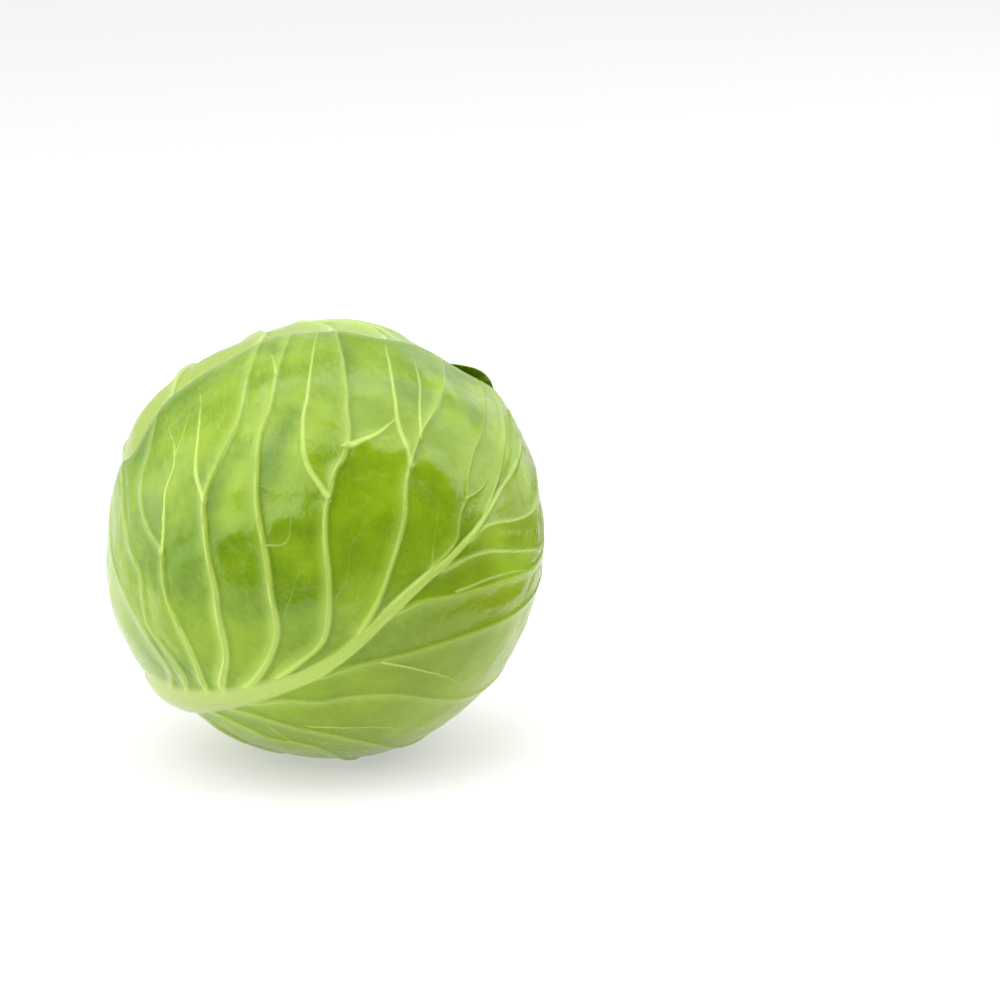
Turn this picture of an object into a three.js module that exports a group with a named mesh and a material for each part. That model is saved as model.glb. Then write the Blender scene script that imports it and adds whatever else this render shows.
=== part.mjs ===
// A whole head of green cabbage, lying on its side on the flat spot it has settled onto.
// Five outer leaves wrap a dense heart in a spiral round the stem. The frame's origin is the
// middle of the flat spot, +Z up, millimetres.
import * as THREE from 'three';

const HEAD_RADIUS = 90;
const FLAT_SPOT_DEPTH = 3;
const CENTRE_HEIGHT = HEAD_RADIUS - FLAT_SPOT_DEPTH;

// The head's own axis runs from the cut stem to the crown, where the leaves close.
const CROWN_ELEVATION = 34.8;
const CROWN_AZIMUTH = -22.4;
const FRONT_LEAF_ROLL = 208.4;

const BLADE_THICKNESS = 0.9;
const LEAF_GAP = 1.15;
const COVER_CLEAR = 6;
const COVER_FADE = 24;
const MARGIN_FADE = 9;

const STEM_RADIUS = 14.5;
const STEM_END = 84;
const STEM_TIP = 12;
const STEM_GAP = 0.4;

// Lumps of the head as [depth, waves across, waves along, phase], in millimetres and radians.
const LUMPS = [
  [0.9, 3.1, 2.3, 1.3],
  [0.7, -2.2, 4.1, 0.4],
  [0.5, 5.3, 3.2, 2.1],
];
// Dents and swellings as [azimuth, elevation, angular radius, depth].
const DENTS = [
  [-4, 58, 20, 3.6],
  [40, 52, 30, 3.2],
  [176, -54, 11, 3.0],
  [170, 31, 34, -3.4],
  [185, -19, 34, -3.2],
];
const STEM_HOLLOW = { radius: 34, depth: 6 };

// Veins are laid out on a leaf spread flat round the middle of its blade, in degrees of arc:
// first across the blade, then along it, with the stem at -90 and the crown at +90.
const VEIN_WIDTH = [1.9, 0.9];
const VEIN_HEIGHT = [1.4, 0.4];
const VEIN_FOOT = 2.5;
const PANEL_BULGE = 1.1;
const PANEL_SHOULDER = 9;
const RIB_SHOULDER = 2.2;
const RIB_ROUNDNESS = 0.55;

const BLADE_COLOUR = '#a9c95a';
const DARK_BLADE_COLOUR = '#86a632';
const PALE_BLADE_COLOUR = '#c9df8c';
const HEART_COLOUR = '#dfe9a8';
const STEM_COLOUR = '#e6e8c6';

const radians = (degrees) => degrees * Math.PI / 180;
const degrees = (angle) => angle * 180 / Math.PI;
const mix = (a, b, t) => a + (b - a) * t;

function smooth(t) {
  const u = Math.min(1, Math.max(0, t));
  return u * u * (3 - 2 * u);
}

function fromAngles(azimuth, elevation) {
  const level = Math.cos(radians(elevation));
  return new THREE.Vector3(
    level * Math.cos(radians(azimuth)),
    level * Math.sin(radians(azimuth)),
    Math.sin(radians(elevation)),
  );
}

const crown = fromAngles(CROWN_AZIMUTH, CROWN_ELEVATION);
const level = new THREE.Vector3(0, 0, 1).cross(crown).normalize();
const frontOfHead = level.applyAxisAngle(crown, radians(FRONT_LEAF_ROLL));
const sideOfHead = new THREE.Vector3().crossVectors(crown, frontOfHead);
const centre = new THREE.Vector3(0, 0, CENTRE_HEIGHT);

// The head's surface without any leaf on it, as a distance from its centre.
function headRadius(direction) {
  const x = direction.dot(frontOfHead);
  const y = direction.dot(sideOfHead);
  const z = direction.dot(crown);
  let radius = HEAD_RADIUS;
  for (const [depth, across, along, phase] of LUMPS) {
    radius += depth * Math.sin(across * x + along * y + 2 * z + phase);
  }
  for (const [azimuth, elevation, width, depth] of DENTS) {
    const away = direction.angleTo(fromAngles(azimuth, elevation));
    radius -= depth * smooth(1 - away / radians(width));
  }
  const fromStem = Math.acos(Math.min(1, Math.max(-1, -z)));
  return radius - STEM_HOLLOW.depth * smooth(1 - fromStem / radians(STEM_HOLLOW.radius));
}

function floorRadius(direction) {
  return direction.z < -0.2 ? -CENTRE_HEIGHT / direction.z : Infinity;
}

// A leaf's margin is given as how far it reaches from the middle of the blade on each bearing.
function reachOf(leaf, bearing) {
  const stops = leaf.margin;
  const last = stops.length - 1;
  let i = 0;
  while (i < last - 1 && stops[i + 1][0] <= bearing) {
    i += 1;
  }
  const value = (k) => stops[Math.min(last, Math.max(0, k))][1];
  const t = (bearing - stops[i][0]) / (stops[i + 1][0] - stops[i][0]);
  const [before, from, to, after] = [value(i - 1), value(i), value(i + 1), value(i + 2)];
  const rise = (to - before) / 2;
  const fall = (after - from) / 2;
  const curve = from + rise * t
    + (3 * (to - from) - 2 * rise - fall) * t * t
    + (2 * (from - to) + rise + fall) * t * t * t;
  const free = smooth((165 - Math.abs(bearing)) / 30);
  return curve + leaf.scallop * free * Math.sin(radians(bearing * leaf.waves) + leaf.phase);
}

function directionOn(leaf, across, along) {
  const arc = Math.hypot(across, along);
  const share = arc < 1e-9 ? 1 : Math.sin(radians(arc)) / arc;
  return leaf.middle.clone().multiplyScalar(Math.cos(radians(arc)))
    .addScaledVector(leaf.side, across * share)
    .addScaledVector(leaf.up, along * share)
    .normalize();
}

function polarOn(leaf, direction) {
  const arc = degrees(Math.acos(Math.min(1, Math.max(-1, direction.dot(leaf.middle)))));
  const bearing = degrees(Math.atan2(direction.dot(leaf.side), direction.dot(leaf.up)));
  return [arc, bearing];
}

// How far a direction lies outside a leaf's margin, in millimetres along the head.
function outsideOf(leaf, direction) {
  const [arc, bearing] = polarOn(leaf, direction);
  return radians(arc - reachOf(leaf, bearing)) * HEAD_RADIUS;
}

function coverOf(leaf, direction) {
  return 1 - smooth((outsideOf(leaf, direction) - COVER_CLEAR) / COVER_FADE);
}

function curveThrough(points) {
  const places = points.map(([across, along]) => new THREE.Vector3(across, along, 0));
  return new THREE.CatmullRomCurve3(places, false, 'centripetal');
}

// The midrib's line, half width and height along the leaf, as [along, across, half width, height].
const FRONT_MIDRIB = [
  [-79, -3, 13, 3.4],
  [-60, -4, 12, 3.2],
  [-46, -5, 9.6, 2.9],
  [-34, -5, 6.6, 2.6],
  [-22, -3.8, 5.2, 2.2],
  [-10, -2, 4.4, 1.9],
  [3, 0, 3.7, 1.6],
  [15, 1, 2.9, 1.4],
  [28, 0.5, 2.2, 1.2],
  [40, 1.5, 1.8, 1.0],
  [50, 4, 1.5, 0.9],
  [60, 6.5, 1.3, 0.8],
  [75, 9.5, 1.1, 0.6],
  [90, 16, 0.9, 0.4],
  [112, 20, 0.7, 0.3],
];
const PLAIN_MIDRIB = [
  [-79, 0, 13, 3.2],
  [-58, 0, 9, 2.8],
  [-40, 0, 5, 2.2],
  [-10, 1, 3.4, 1.6],
  [25, 0, 2.4, 1.1],
  [60, 1, 1.4, 0.6],
  [95, 2, 0.9, 0.3],
];

function midribAt(leaf, along) {
  const stops = leaf.midrib;
  let i = 0;
  while (i < stops.length - 2 && stops[i + 1][0] <= along) {
    i += 1;
  }
  const t = Math.min(1, Math.max(0, (along - stops[i][0]) / (stops[i + 1][0] - stops[i][0])));
  const value = (k) => mix(stops[i][k], stops[i + 1][k], t);
  return { across: value(1), halfWidth: value(2), height: value(3) };
}

// The midrib's edge on one side.
function ribSide(leaf, side, along) {
  const rib = midribAt(leaf, along);
  return rib.across + side * degrees(rib.halfWidth / HEAD_RADIUS);
}

// The front leaf's side veins: where each leaves the midrib, what it passes through, and the
// bearing at which it runs out at the margin.
const FRONT_UPPER_VEINS = [
  { start: -43, via: [[-27, -37], [-50, -44]], end: -127 },
  { start: -36, via: [[-15, -32], [-31, -33], [-44, -27]], end: -114 },
  { start: -28, via: [[-17, -24], [-30, -21], [-47, -15], [-61, -19]], end: -98 },
  { start: -22, via: [[-15, -14], [-32, -4], [-53, 5], [-67, 23]], end: -69 },
  { start: -15, via: [[-11, -1], [-24, 9], [-45, 19], [-66, 35]], end: -61 },
  { start: -7, via: [[-5, 10], [-17, 23], [-35, 38], [-44, 52], [-70, 67]], end: -48 },
  { start: 8, via: [[-2, 23], [-9, 39], [-22, 59], [-28, 83]], end: -17 },
  { start: 44, via: [[3, 53], [-5, 70], [-8, 94]], end: -5 },
  { start: 66, via: [[7, 83]], end: 2 },
];
const FRONT_LOWER_VEINS = [
  { start: -43, via: [[14, -45], [38, -44]], end: 128 },
  { start: -35, via: [[10, -29], [22, -20], [45, -24]], end: 108 },
  { start: -27, via: [[12, -18], [26, -9], [55, -7]], end: 92 },
  { start: -19, via: [[9, -2], [22, 13], [50, 20]], end: 72 },
  { start: 3, via: [[9, 18], [24, 36], [48, 52]], end: 50 },
  { start: 30, via: [[9, 41], [25, 53], [47, 64]], end: 43 },
  { start: 46, via: [[15, 58], [36, 66]], end: 36 },
  { start: 57, via: [[12, 66], [25, 73]], end: 27 },
  { start: 80, via: [[21, 97]], end: 16 },
];

// Other leaves fan their side veins evenly, turning from across the blade at the stem
// to along it at the tip.
function fanOfVeins(leaf, side, count) {
  const veins = [];
  for (let i = 0; i < count; i += 1) {
    const share = (i + (side > 0 ? 0.35 : 0)) / count;
    const start = mix(-46, 0.8 * reachOf(leaf, 0), share ** 0.85);
    const end = side * mix(128, 18, share ** 0.9);
    const reach = reachOf(leaf, end);
    const outAcross = reach * Math.sin(radians(end));
    const climb = reach * Math.cos(radians(end)) - start;
    const via = [[0.15, 0.34], [0.42, 0.55], [0.72, 0.74]]
      .map(([out, up]) => [out * outAcross, start + up * climb + 6 * (1 - out)]);
    veins.push({ start, via, end });
  }
  return veins;
}

const pointAt = (reach, bearing) => [
  reach * Math.sin(radians(bearing)),
  reach * Math.cos(radians(bearing)),
];

function veinCurve(leaf, side, vein) {
  const foot = [ribSide(leaf, side, vein.start), vein.start];
  return curveThrough([foot, ...vein.via, pointAt(reachOf(leaf, vein.end), vein.end)]);
}

// Places along every side vein, each with its size, for measuring how near a vein is.
function veinSamples(leaf) {
  const samples = [];
  for (const side of [-1, 1]) {
    for (const vein of leaf.veins[side]) {
      const curve = veinCurve(leaf, side, vein);
      const steps = 200;
      for (let i = 0; i <= steps; i += 1) {
        const t = i / steps;
        const place = curve.getPointAt(t);
        samples.push({
          place: directionOn(leaf, place.x, place.y),
          halfWidth: mix(...VEIN_WIDTH, t),
          height: mix(...VEIN_HEIGHT, t) * leaf.ribbing,
        });
      }
    }
  }
  return samples;
}

const roundOver = (t) => (t < 1 ? (1 - t * t) ** 1.3 : 0);

// The ridges of the veins and the swelling of the panels between them, at one place.
function reliefAt(leaf, across, along, direction) {
  let nearest = Infinity;
  let ridge = 0;
  for (const sample of leaf.samples) {
    const away = sample.place.distanceTo(direction) * HEAD_RADIUS;
    ridge = Math.max(ridge, sample.height * roundOver(away / (1.3 * sample.halfWidth)));
    nearest = Math.min(nearest, away - sample.halfWidth);
  }
  const rib = midribAt(leaf, along);
  const fromRib = Math.abs(across - rib.across) * radians(HEAD_RADIUS);
  const fromCrest = fromRib / rib.halfWidth;
  const round = mix(smooth(1 - fromCrest / RIB_SHOULDER), roundOver(fromCrest / 1.15), RIB_ROUNDNESS);
  ridge = Math.max(ridge, rib.height * round);
  nearest = Math.min(nearest, fromRib - rib.halfWidth);
  const inside = -outsideOf(leaf, direction);
  const bulge = PANEL_BULGE * leaf.ribbing * smooth(nearest / PANEL_SHOULDER)
    * smooth(inside / MARGIN_FADE);
  return { ridge, bulge };
}

// The margin of a leaf stands off the head in waves.
function liftAt(leaf, direction) {
  const [arc, bearing] = polarOn(leaf, direction);
  const inside = radians(reachOf(leaf, bearing) - arc) * HEAD_RADIUS;
  const free = smooth((150 - Math.abs(bearing)) / 40);
  const wave = 0.5 + 0.5 * Math.sin(radians(bearing * leaf.waves * 1.7) + leaf.phase * 2);
  return leaf.lift * free * wave * smooth(1 - inside / leaf.liftWidth);
}

// Where a leaf's margin has come away from the ones round it, it stands up in a flap.
function flapAt(leaf, direction) {
  if (!leaf.flap) {
    return 0;
  }
  const [arc, bearing] = polarOn(leaf, direction);
  const inside = radians(reachOf(leaf, bearing) - arc) * HEAD_RADIUS;
  const across = smooth(1 - Math.abs(bearing - leaf.flap.bearing) / leaf.flap.spread);
  return leaf.flap.height * across * smooth(1 - inside / leaf.flap.width);
}

// Each leaf lies under every leaf outside it, so its surface is that much deeper there.
function surfaceOf(leaf, outerLeaves, across, along) {
  const direction = directionOn(leaf, across, along);
  let depth = 0;
  let bare = 1;
  for (const outer of outerLeaves) {
    const cover = coverOf(outer, direction);
    depth += cover * (BLADE_THICKNESS + LEAF_GAP);
    bare *= 1 - cover;
  }
  const { ridge, bulge } = reliefAt(leaf, across, along, direction);
  const skin = headRadius(direction) + (bulge + liftAt(leaf, direction)) * bare
    + flapAt(leaf, direction);
  const floor = floorRadius(direction);
  const outer = Math.min(skin + ridge * bare, floor) - depth;
  const inner = Math.min(skin, floor) - depth - BLADE_THICKNESS;
  return {
    outer: direction.clone().multiplyScalar(outer).add(centre),
    inner: direction.clone().multiplyScalar(inner).add(centre),
  };
}

// Rows of points follow the side veins from the midrib to the margin: one on each crest,
// one at either foot, and some across the panel between two veins.
function halfBlade(leaf, side) {
  const columns = Array.from({ length: leaf.columns + 1 }, (_, i) => i / leaf.columns);
  const guides = [];
  const petioleBearing = 172;
  const firstEnd = Math.abs(leaf.veins[side][0].end);
  guides.push(columns.map((s) => {
    const bearing = side * mix(petioleBearing, mix(petioleBearing, firstEnd, 0.55), s);
    return pointAt(reachOf(leaf, bearing), bearing);
  }));
  for (const vein of leaf.veins[side]) {
    const curve = veinCurve(leaf, side, vein);
    guides.push(columns.map((s) => {
      const place = curve.getPointAt(s);
      return [place.x, place.y];
    }));
  }
  const tip = leaf.tipBearing;
  const lastEnd = leaf.veins[side].at(-1).end;
  guides.push(columns.map((s) => {
    const bearing = mix(tip, mix(tip, lastEnd, 0.5), mix(0.12, 1, s));
    return pointAt(reachOf(leaf, bearing), bearing);
  }));

  const rows = [];
  for (let g = 0; g < guides.length - 1; g += 1) {
    const [low, high] = [guides[g], guides[g + 1]];
    const shares = [(width) => 0];
    if (g > 0) {
      shares.push((width) => Math.min(0.3, VEIN_FOOT / width));
    }
    for (let k = 1; k <= leaf.panelRows; k += 1) {
      shares.push(() => k / (leaf.panelRows + 1));
    }
    if (g < guides.length - 2) {
      shares.push((width) => 1 - Math.min(0.3, VEIN_FOOT / width));
    }
    for (const share of shares) {
      rows.push(columns.map((s, j) => {
        const from = directionOn(leaf, ...low[j]);
        const width = from.distanceTo(directionOn(leaf, ...high[j])) * HEAD_RADIUS;
        const f = share(Math.max(width, 0.01));
        return [mix(low[j][0], high[j][0], f), mix(low[j][1], high[j][1], f)];
      }));
    }
  }
  rows.push(guides.at(-1));

  const firstStart = leaf.veins[side][0].start;
  const lastStart = leaf.veins[side].at(-1).start;
  for (const row of rows.slice(1, -1)) {
    const end = row.at(-1);
    const bearing = degrees(Math.atan2(end[0], end[1]));
    const [x, y] = pointAt(reachOf(leaf, bearing), bearing);
    const [dx, dy] = [x - end[0], y - end[1]];
    const [footAcross, footAlong] = row[0];
    const besideVeins = footAlong > firstStart && footAlong < lastStart;
    const footPull = besideVeins ? ribSide(leaf, side, footAlong) - footAcross : 0;
    row.forEach((point, j) => {
      const pull = columns[j] ** 3;
      point[0] += dx * pull + footPull * (1 - columns[j]) ** 4;
      point[1] += dy * pull;
    });
  }
  return rows;
}

// Both halves share the points on the midrib's crest, and a few across its flanks.
function leafGrid(leaf) {
  const upper = halfBlade(leaf, -1);
  const lower = halfBlade(leaf, 1);
  const last = upper.length - 1;
  return upper.map((row, i) => {
    let crest = [0, (row[0][1] + lower[i][0][1]) / 2];
    if (i === 0) {
      crest = pointAt(reachOf(leaf, 180), 180);
    }
    if (i === last) {
      crest = pointAt(reachOf(leaf, leaf.tipBearing), leaf.tipBearing);
    } else {
      crest[0] = midribAt(leaf, crest[1]).across;
    }
    const flank = (foot) => leaf.flank.map((f) => [
      mix(crest[0], foot[0], f),
      mix(crest[1], foot[1], f),
    ]);
    return [
      ...row.slice().reverse(),
      ...flank(row[0]).reverse(),
      crest,
      ...flank(lower[i][0]),
      ...lower[i],
    ];
  });
}

function closedShell(rows, columns, outer, inner) {
  const places = [...outer, ...inner];
  const triangles = [];
  const sheet = rows * columns;
  const at = (i, j) => i * columns + j;
  const quad = (a, b, c, d) => {
    const first = places[a].distanceTo(places[c]);
    const second = places[b].distanceTo(places[d]);
    return first <= second ? [[a, b, c], [a, c, d]] : [[a, b, d], [b, c, d]];
  };
  for (let i = 0; i < rows - 1; i += 1) {
    for (let j = 0; j < columns - 1; j += 1) {
      const halves = quad(at(i, j), at(i, j + 1), at(i + 1, j + 1), at(i + 1, j));
      for (const [a, b, c] of halves) {
        triangles.push(a, b, c);
        triangles.push(a + sheet, c + sheet, b + sheet);
      }
    }
  }
  const rim = [];
  for (let j = 0; j < columns - 1; j += 1) {
    rim.push(at(0, j));
  }
  for (let i = 0; i < rows - 1; i += 1) {
    rim.push(at(i, columns - 1));
  }
  for (let j = columns - 1; j > 0; j -= 1) {
    rim.push(at(rows - 1, j));
  }
  for (let i = rows - 1; i > 0; i -= 1) {
    rim.push(at(i, 0));
  }
  rim.forEach((a, k) => {
    const b = rim[(k + 1) % rim.length];
    triangles.push(a, a + sheet, b);
    triangles.push(b, a + sheet, b + sheet);
  });
  const geometry = new THREE.BufferGeometry();
  geometry.setAttribute('position', new THREE.Float32BufferAttribute(
    places.flatMap((place) => [place.x, place.y, place.z]),
    3,
  ));
  geometry.setIndex(triangles);
  geometry.computeVertexNormals();
  return geometry;
}

function leafGeometry(leaf, outerLeaves) {
  const grid = leafGrid(leaf);
  const places = grid.flat().map(([across, along]) => surfaceOf(leaf, outerLeaves, across, along));
  return closedShell(
    grid.length,
    grid[0].length,
    places.map((place) => place.outer),
    places.map((place) => place.inner),
  );
}

// The leaves from the outside in. Turn is the leaf's place round the axis.
const LEAVES = [
  {
    name: 'front_leaf',
    turn: 0,
    colour: BLADE_COLOUR,
    midrib: FRONT_MIDRIB,
    margin: [
      [-180, 79], [-170, 79], [-150, 85], [-130, 90], [-118, 88], [-109, 84], [-102, 90],
      [-96, 94.5], [-90, 95.5], [-84, 99], [-76, 102], [-67, 108.5], [-57, 110.5],
      [-49, 109.5], [-43, 106.5], [-36, 106], [-30, 110.3], [-24, 115], [-16, 117.3], [-8, 116.8],
      [6, 116.3], [20, 114], [45, 110], [75, 105], [105, 100], [130, 93], [150, 86],
      [170, 79], [180, 79],
    ],
    tipBearing: 9,
    scallop: 0.5,
    waves: 9,
    phase: 0.4,
    lift: 0.9,
    liftWidth: 16,
    ribbing: 1,
    columns: 10,
    panelRows: 2,
  },
  {
    name: 'rear_leaf',
    turn: -135,
    colour: PALE_BLADE_COLOUR,
    midrib: PLAIN_MIDRIB,
    margin: [
      [-180, 79], [-170, 79], [-150, 82], [-120, 77], [-90, 72], [-60, 66], [-30, 57],
      [-12, 53], [0, 53], [8, 56], [18, 63], [32, 74], [60, 84], [90, 80], [120, 80],
      [150, 83], [170, 79], [180, 79],
    ],
    tipBearing: 3,
    scallop: 0.9,
    waves: 10,
    phase: 1.9,
    lift: 2.0,
    liftWidth: 24,
    ribbing: 1,
    columns: 8,
    panelRows: 2,
  },
  {
    name: 'under_leaf',
    turn: 96,
    colour: BLADE_COLOUR,
    midrib: PLAIN_MIDRIB,
    margin: [
      [-180, 79], [-170, 79], [-150, 84], [-120, 80], [-90, 76], [-60, 76], [-30, 74],
      [0, 72], [30, 68], [60, 64], [90, 62], [120, 66], [150, 78], [170, 79], [180, 79],
    ],
    tipBearing: -4,
    scallop: 1.0,
    waves: 9,
    phase: 3.1,
    lift: 2.4,
    liftWidth: 22,
    ribbing: 1,
    columns: 8,
    panelRows: 2,
  },
  {
    name: 'back_leaf',
    turn: 178,
    colour: DARK_BLADE_COLOUR,
    midrib: PLAIN_MIDRIB,
    margin: [
      [-180, 79], [-170, 79], [-150, 82], [-120, 80], [-90, 78], [-60, 74], [-30, 66],
      [-8, 61], [6, 59.5], [18, 58], [34, 59], [60, 70], [90, 76], [120, 78], [150, 82],
      [170, 79], [180, 79],
    ],
    tipBearing: 2,
    scallop: 1.1,
    waves: 11,
    phase: 0.9,
    lift: 2.4,
    liftWidth: 22,
    flap: { bearing: 4, spread: 16, height: 5.6, width: 16 },
    ribbing: 1,
    columns: 8,
    panelRows: 2,
  },
  {
    name: 'upper_leaf',
    turn: -55,
    colour: PALE_BLADE_COLOUR,
    midrib: PLAIN_MIDRIB,
    margin: [
      [-180, 79], [-170, 79], [-150, 82], [-120, 82], [-90, 82], [-60, 90], [-30, 107],
      [-12, 114], [0, 117], [12, 115], [30, 104], [60, 88], [90, 82], [120, 82], [150, 82],
      [170, 79], [180, 79],
    ],
    tipBearing: 0,
    scallop: 0.8,
    waves: 10,
    phase: 2.6,
    lift: 1.6,
    liftWidth: 18,
    ribbing: 0.8,
    columns: 8,
    panelRows: 2,
  },
];

for (const leaf of LEAVES) {
  leaf.middle = frontOfHead.clone().applyAxisAngle(crown, radians(leaf.turn));
  leaf.side = new THREE.Vector3().crossVectors(crown, leaf.middle);
  leaf.up = crown;
  leaf.flank = leaf.name === 'front_leaf' ? [0.35, 0.7] : [0.55];
  leaf.veins = leaf.name === 'front_leaf'
    ? { [-1]: FRONT_UPPER_VEINS, [1]: FRONT_LOWER_VEINS }
    : { [-1]: fanOfVeins(leaf, -1, 5), [1]: fanOfVeins(leaf, 1, 5) };
  leaf.samples = veinSamples(leaf);
}

// A direction given by how far it lies from the crown and by its turn round the axis.
function roundAxis(fromCrown, turn) {
  return crown.clone().multiplyScalar(Math.cos(fromCrown))
    .addScaledVector(frontOfHead, Math.sin(fromCrown) * Math.cos(turn))
    .addScaledVector(sideOfHead, Math.sin(fromCrown) * Math.sin(turn));
}

// A solid of revolution-like rings round the head's axis, closed at both ends by a point.
function ringedSolid(rings, sectors, placeAt, start, end) {
  const places = [start];
  for (let i = 0; i < rings; i += 1) {
    for (let j = 0; j < sectors; j += 1) {
      places.push(placeAt(i, 2 * Math.PI * j / sectors));
    }
  }
  places.push(end);
  const triangles = [];
  const at = (i, j) => 1 + i * sectors + j % sectors;
  for (let j = 0; j < sectors; j += 1) {
    triangles.push(0, at(0, j), at(0, j + 1));
    for (let i = 0; i < rings - 1; i += 1) {
      triangles.push(at(i, j), at(i + 1, j), at(i + 1, j + 1));
      triangles.push(at(i, j), at(i + 1, j + 1), at(i, j + 1));
    }
    triangles.push(at(rings - 1, j), places.length - 1, at(rings - 1, j + 1));
  }
  const geometry = new THREE.BufferGeometry();
  geometry.setAttribute('position', new THREE.Float32BufferAttribute(
    places.flatMap((place) => [place.x, place.y, place.z]),
    3,
  ));
  geometry.setIndex(triangles);
  geometry.computeVertexNormals();
  return geometry;
}

// The stem: a tapering core inside the heart that widens to the stump, cut square at its end.
// Each place on its side is [distance below the head's middle, share of the stump's radius].
const STEM_PROFILE = [
  [-STEM_TIP, 0.30],
  [-STEM_TIP + 4, 0.48],
  [10, 0.62],
  [32, 0.76],
  [52, 0.90],
  [66, 1.0],
  [76, 1.0],
  [STEM_END - 1.2, 0.97],
  [STEM_END, 0.90],
  [STEM_END - 0.4, 0.45],
];

function stemRadius(share, turn) {
  return STEM_RADIUS * share * (1 + 0.035 * Math.sin(3 * turn + 0.6) + 0.02 * Math.sin(5 * turn));
}

function onAxis(below) {
  return centre.clone().addScaledVector(crown, -below);
}

function besideAxis(below, radius, turn) {
  return onAxis(below)
    .addScaledVector(frontOfHead, radius * Math.cos(turn))
    .addScaledVector(sideOfHead, radius * Math.sin(turn));
}

function stemGeometry() {
  const place = (i, turn) => {
    const [below, share] = STEM_PROFILE[i];
    return besideAxis(below, stemRadius(share, turn), turn);
  };
  const top = onAxis(-STEM_TIP - 1.5);
  const face = onAxis(STEM_END - 0.5);
  return ringedSolid(STEM_PROFILE.length, 28, place, top, face);
}

// The heart: the tightly folded inner leaves in one piece, with steps where their edges lap,
// and a socket that the stem's core fits.
const HEART_RINGS = 22;
const HEART_END = 158;
const HEART_LAPS = 5;
const LAP_STEP = 0.9;

function heartPlace(fromCrown, turn) {
  const direction = roundAxis(fromCrown, turn);
  let depth = LEAF_GAP * 0.5;
  for (const leaf of LEAVES) {
    depth += coverOf(leaf, direction) * (BLADE_THICKNESS + LEAF_GAP);
  }
  const lap = turn / (2 * Math.PI) * HEART_LAPS + degrees(fromCrown) / 60;
  depth += LAP_STEP * smooth((lap - Math.floor(lap)) * 1.6) * smooth(degrees(fromCrown) / 20);
  const radius = Math.min(headRadius(direction), floorRadius(direction)) - depth;
  return direction.multiplyScalar(radius).add(centre);
}

function heartGeometry() {
  const socket = STEM_PROFILE.filter(([below]) => below < 70).reverse();
  const place = (i, turn) => {
    if (i < HEART_RINGS) {
      return heartPlace(radians(HEART_END * (i + 1) / HEART_RINGS), turn);
    }
    const [below, share] = socket[i - HEART_RINGS];
    return besideAxis(below, stemRadius(share, turn) + STEM_GAP, turn);
  };
  const top = heartPlace(0, 0);
  const end = onAxis(-STEM_TIP - 1.5 - STEM_GAP);
  return ringedSolid(HEART_RINGS + socket.length, 32, place, top, end);
}

function mesh(name, geometry, colour, roughness) {
  const material = new THREE.MeshStandardMaterial({ color: colour, roughness, metalness: 0 });
  const piece = new THREE.Mesh(geometry, material);
  piece.name = name;
  return piece;
}

const cabbage = new THREE.Group();
LEAVES.forEach((leaf, i) => {
  cabbage.add(mesh(leaf.name, leafGeometry(leaf, LEAVES.slice(0, i)), leaf.colour, 0.42));
});
cabbage.add(mesh('heart', heartGeometry(), HEART_COLOUR, 0.5));
cabbage.add(mesh('stem', stemGeometry(), STEM_COLOUR, 0.6));

export default cabbage;
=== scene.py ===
import math

import bpy
import numpy as np
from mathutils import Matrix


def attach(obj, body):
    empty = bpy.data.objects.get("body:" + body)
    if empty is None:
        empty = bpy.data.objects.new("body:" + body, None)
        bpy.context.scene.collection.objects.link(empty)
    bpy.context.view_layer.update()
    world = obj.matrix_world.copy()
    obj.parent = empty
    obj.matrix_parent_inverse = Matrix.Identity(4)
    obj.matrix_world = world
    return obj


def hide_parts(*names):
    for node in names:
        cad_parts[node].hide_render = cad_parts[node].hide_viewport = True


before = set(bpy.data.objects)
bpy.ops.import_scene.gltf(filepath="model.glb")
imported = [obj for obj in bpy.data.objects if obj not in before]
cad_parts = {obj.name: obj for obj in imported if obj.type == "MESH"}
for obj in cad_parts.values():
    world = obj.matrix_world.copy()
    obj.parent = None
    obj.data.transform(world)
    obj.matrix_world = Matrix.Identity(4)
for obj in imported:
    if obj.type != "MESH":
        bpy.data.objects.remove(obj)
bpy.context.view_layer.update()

# Front leaf
# The big outer leaf that wraps the side of the head towards the camera, from the cut stem over
# the crown. A thin waxy blade, puckered between raised pale veins that branch from one thick
# midrib. It grows from the stem and lies pressed over the leaves under it.

# sizes in millimetres and degrees, with the head's centre above the flat spot it lies on
HEAD_RADIUS = 90.0
CENTRE_HEIGHT = 87.0
CROWN_ELEVATION, CROWN_AZIMUTH, FRONT_LEAF_ROLL = 34.8, -22.4, 208.4
BLADE_THICKNESS, LEAF_GAP = 0.9, 1.15
COVER_CLEAR, COVER_FADE = 6.0, 24.0
# lumps of the head as depth, waves across, waves along and phase; dents as azimuth, elevation,
# angular radius and depth
LUMPS = [(0.9, 3.1, 2.3, 1.3), (0.7, -2.2, 4.1, 0.4), (0.5, 5.3, 3.2, 2.1)]
DENTS = [(-4, 58, 20, 3.6), (40, 52, 30, 3.2), (176, -54, 11, 3.0), (170, 31, 34, -3.4),
         (185, -19, 34, -3.2)]
HOLLOW_RADIUS, HOLLOW_DEPTH = 34.0, 6.0


def unit(v):
    v = np.asarray(v, float)
    return v / np.linalg.norm(v, axis=-1, keepdims=True)


def from_angles(azimuth, elevation):
    a, e = math.radians(azimuth), math.radians(elevation)
    return np.array([math.cos(e) * math.cos(a), math.cos(e) * math.sin(a), math.sin(e)])


def turned(v, axis, angle):
    c, s = math.cos(math.radians(angle)), math.sin(math.radians(angle))
    return v * c + np.cross(axis, v) * s + axis * np.dot(axis, v) * (1 - c)


def smooth(t):
    t = np.clip(t, 0, 1)
    return t * t * (3 - 2 * t)


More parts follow.
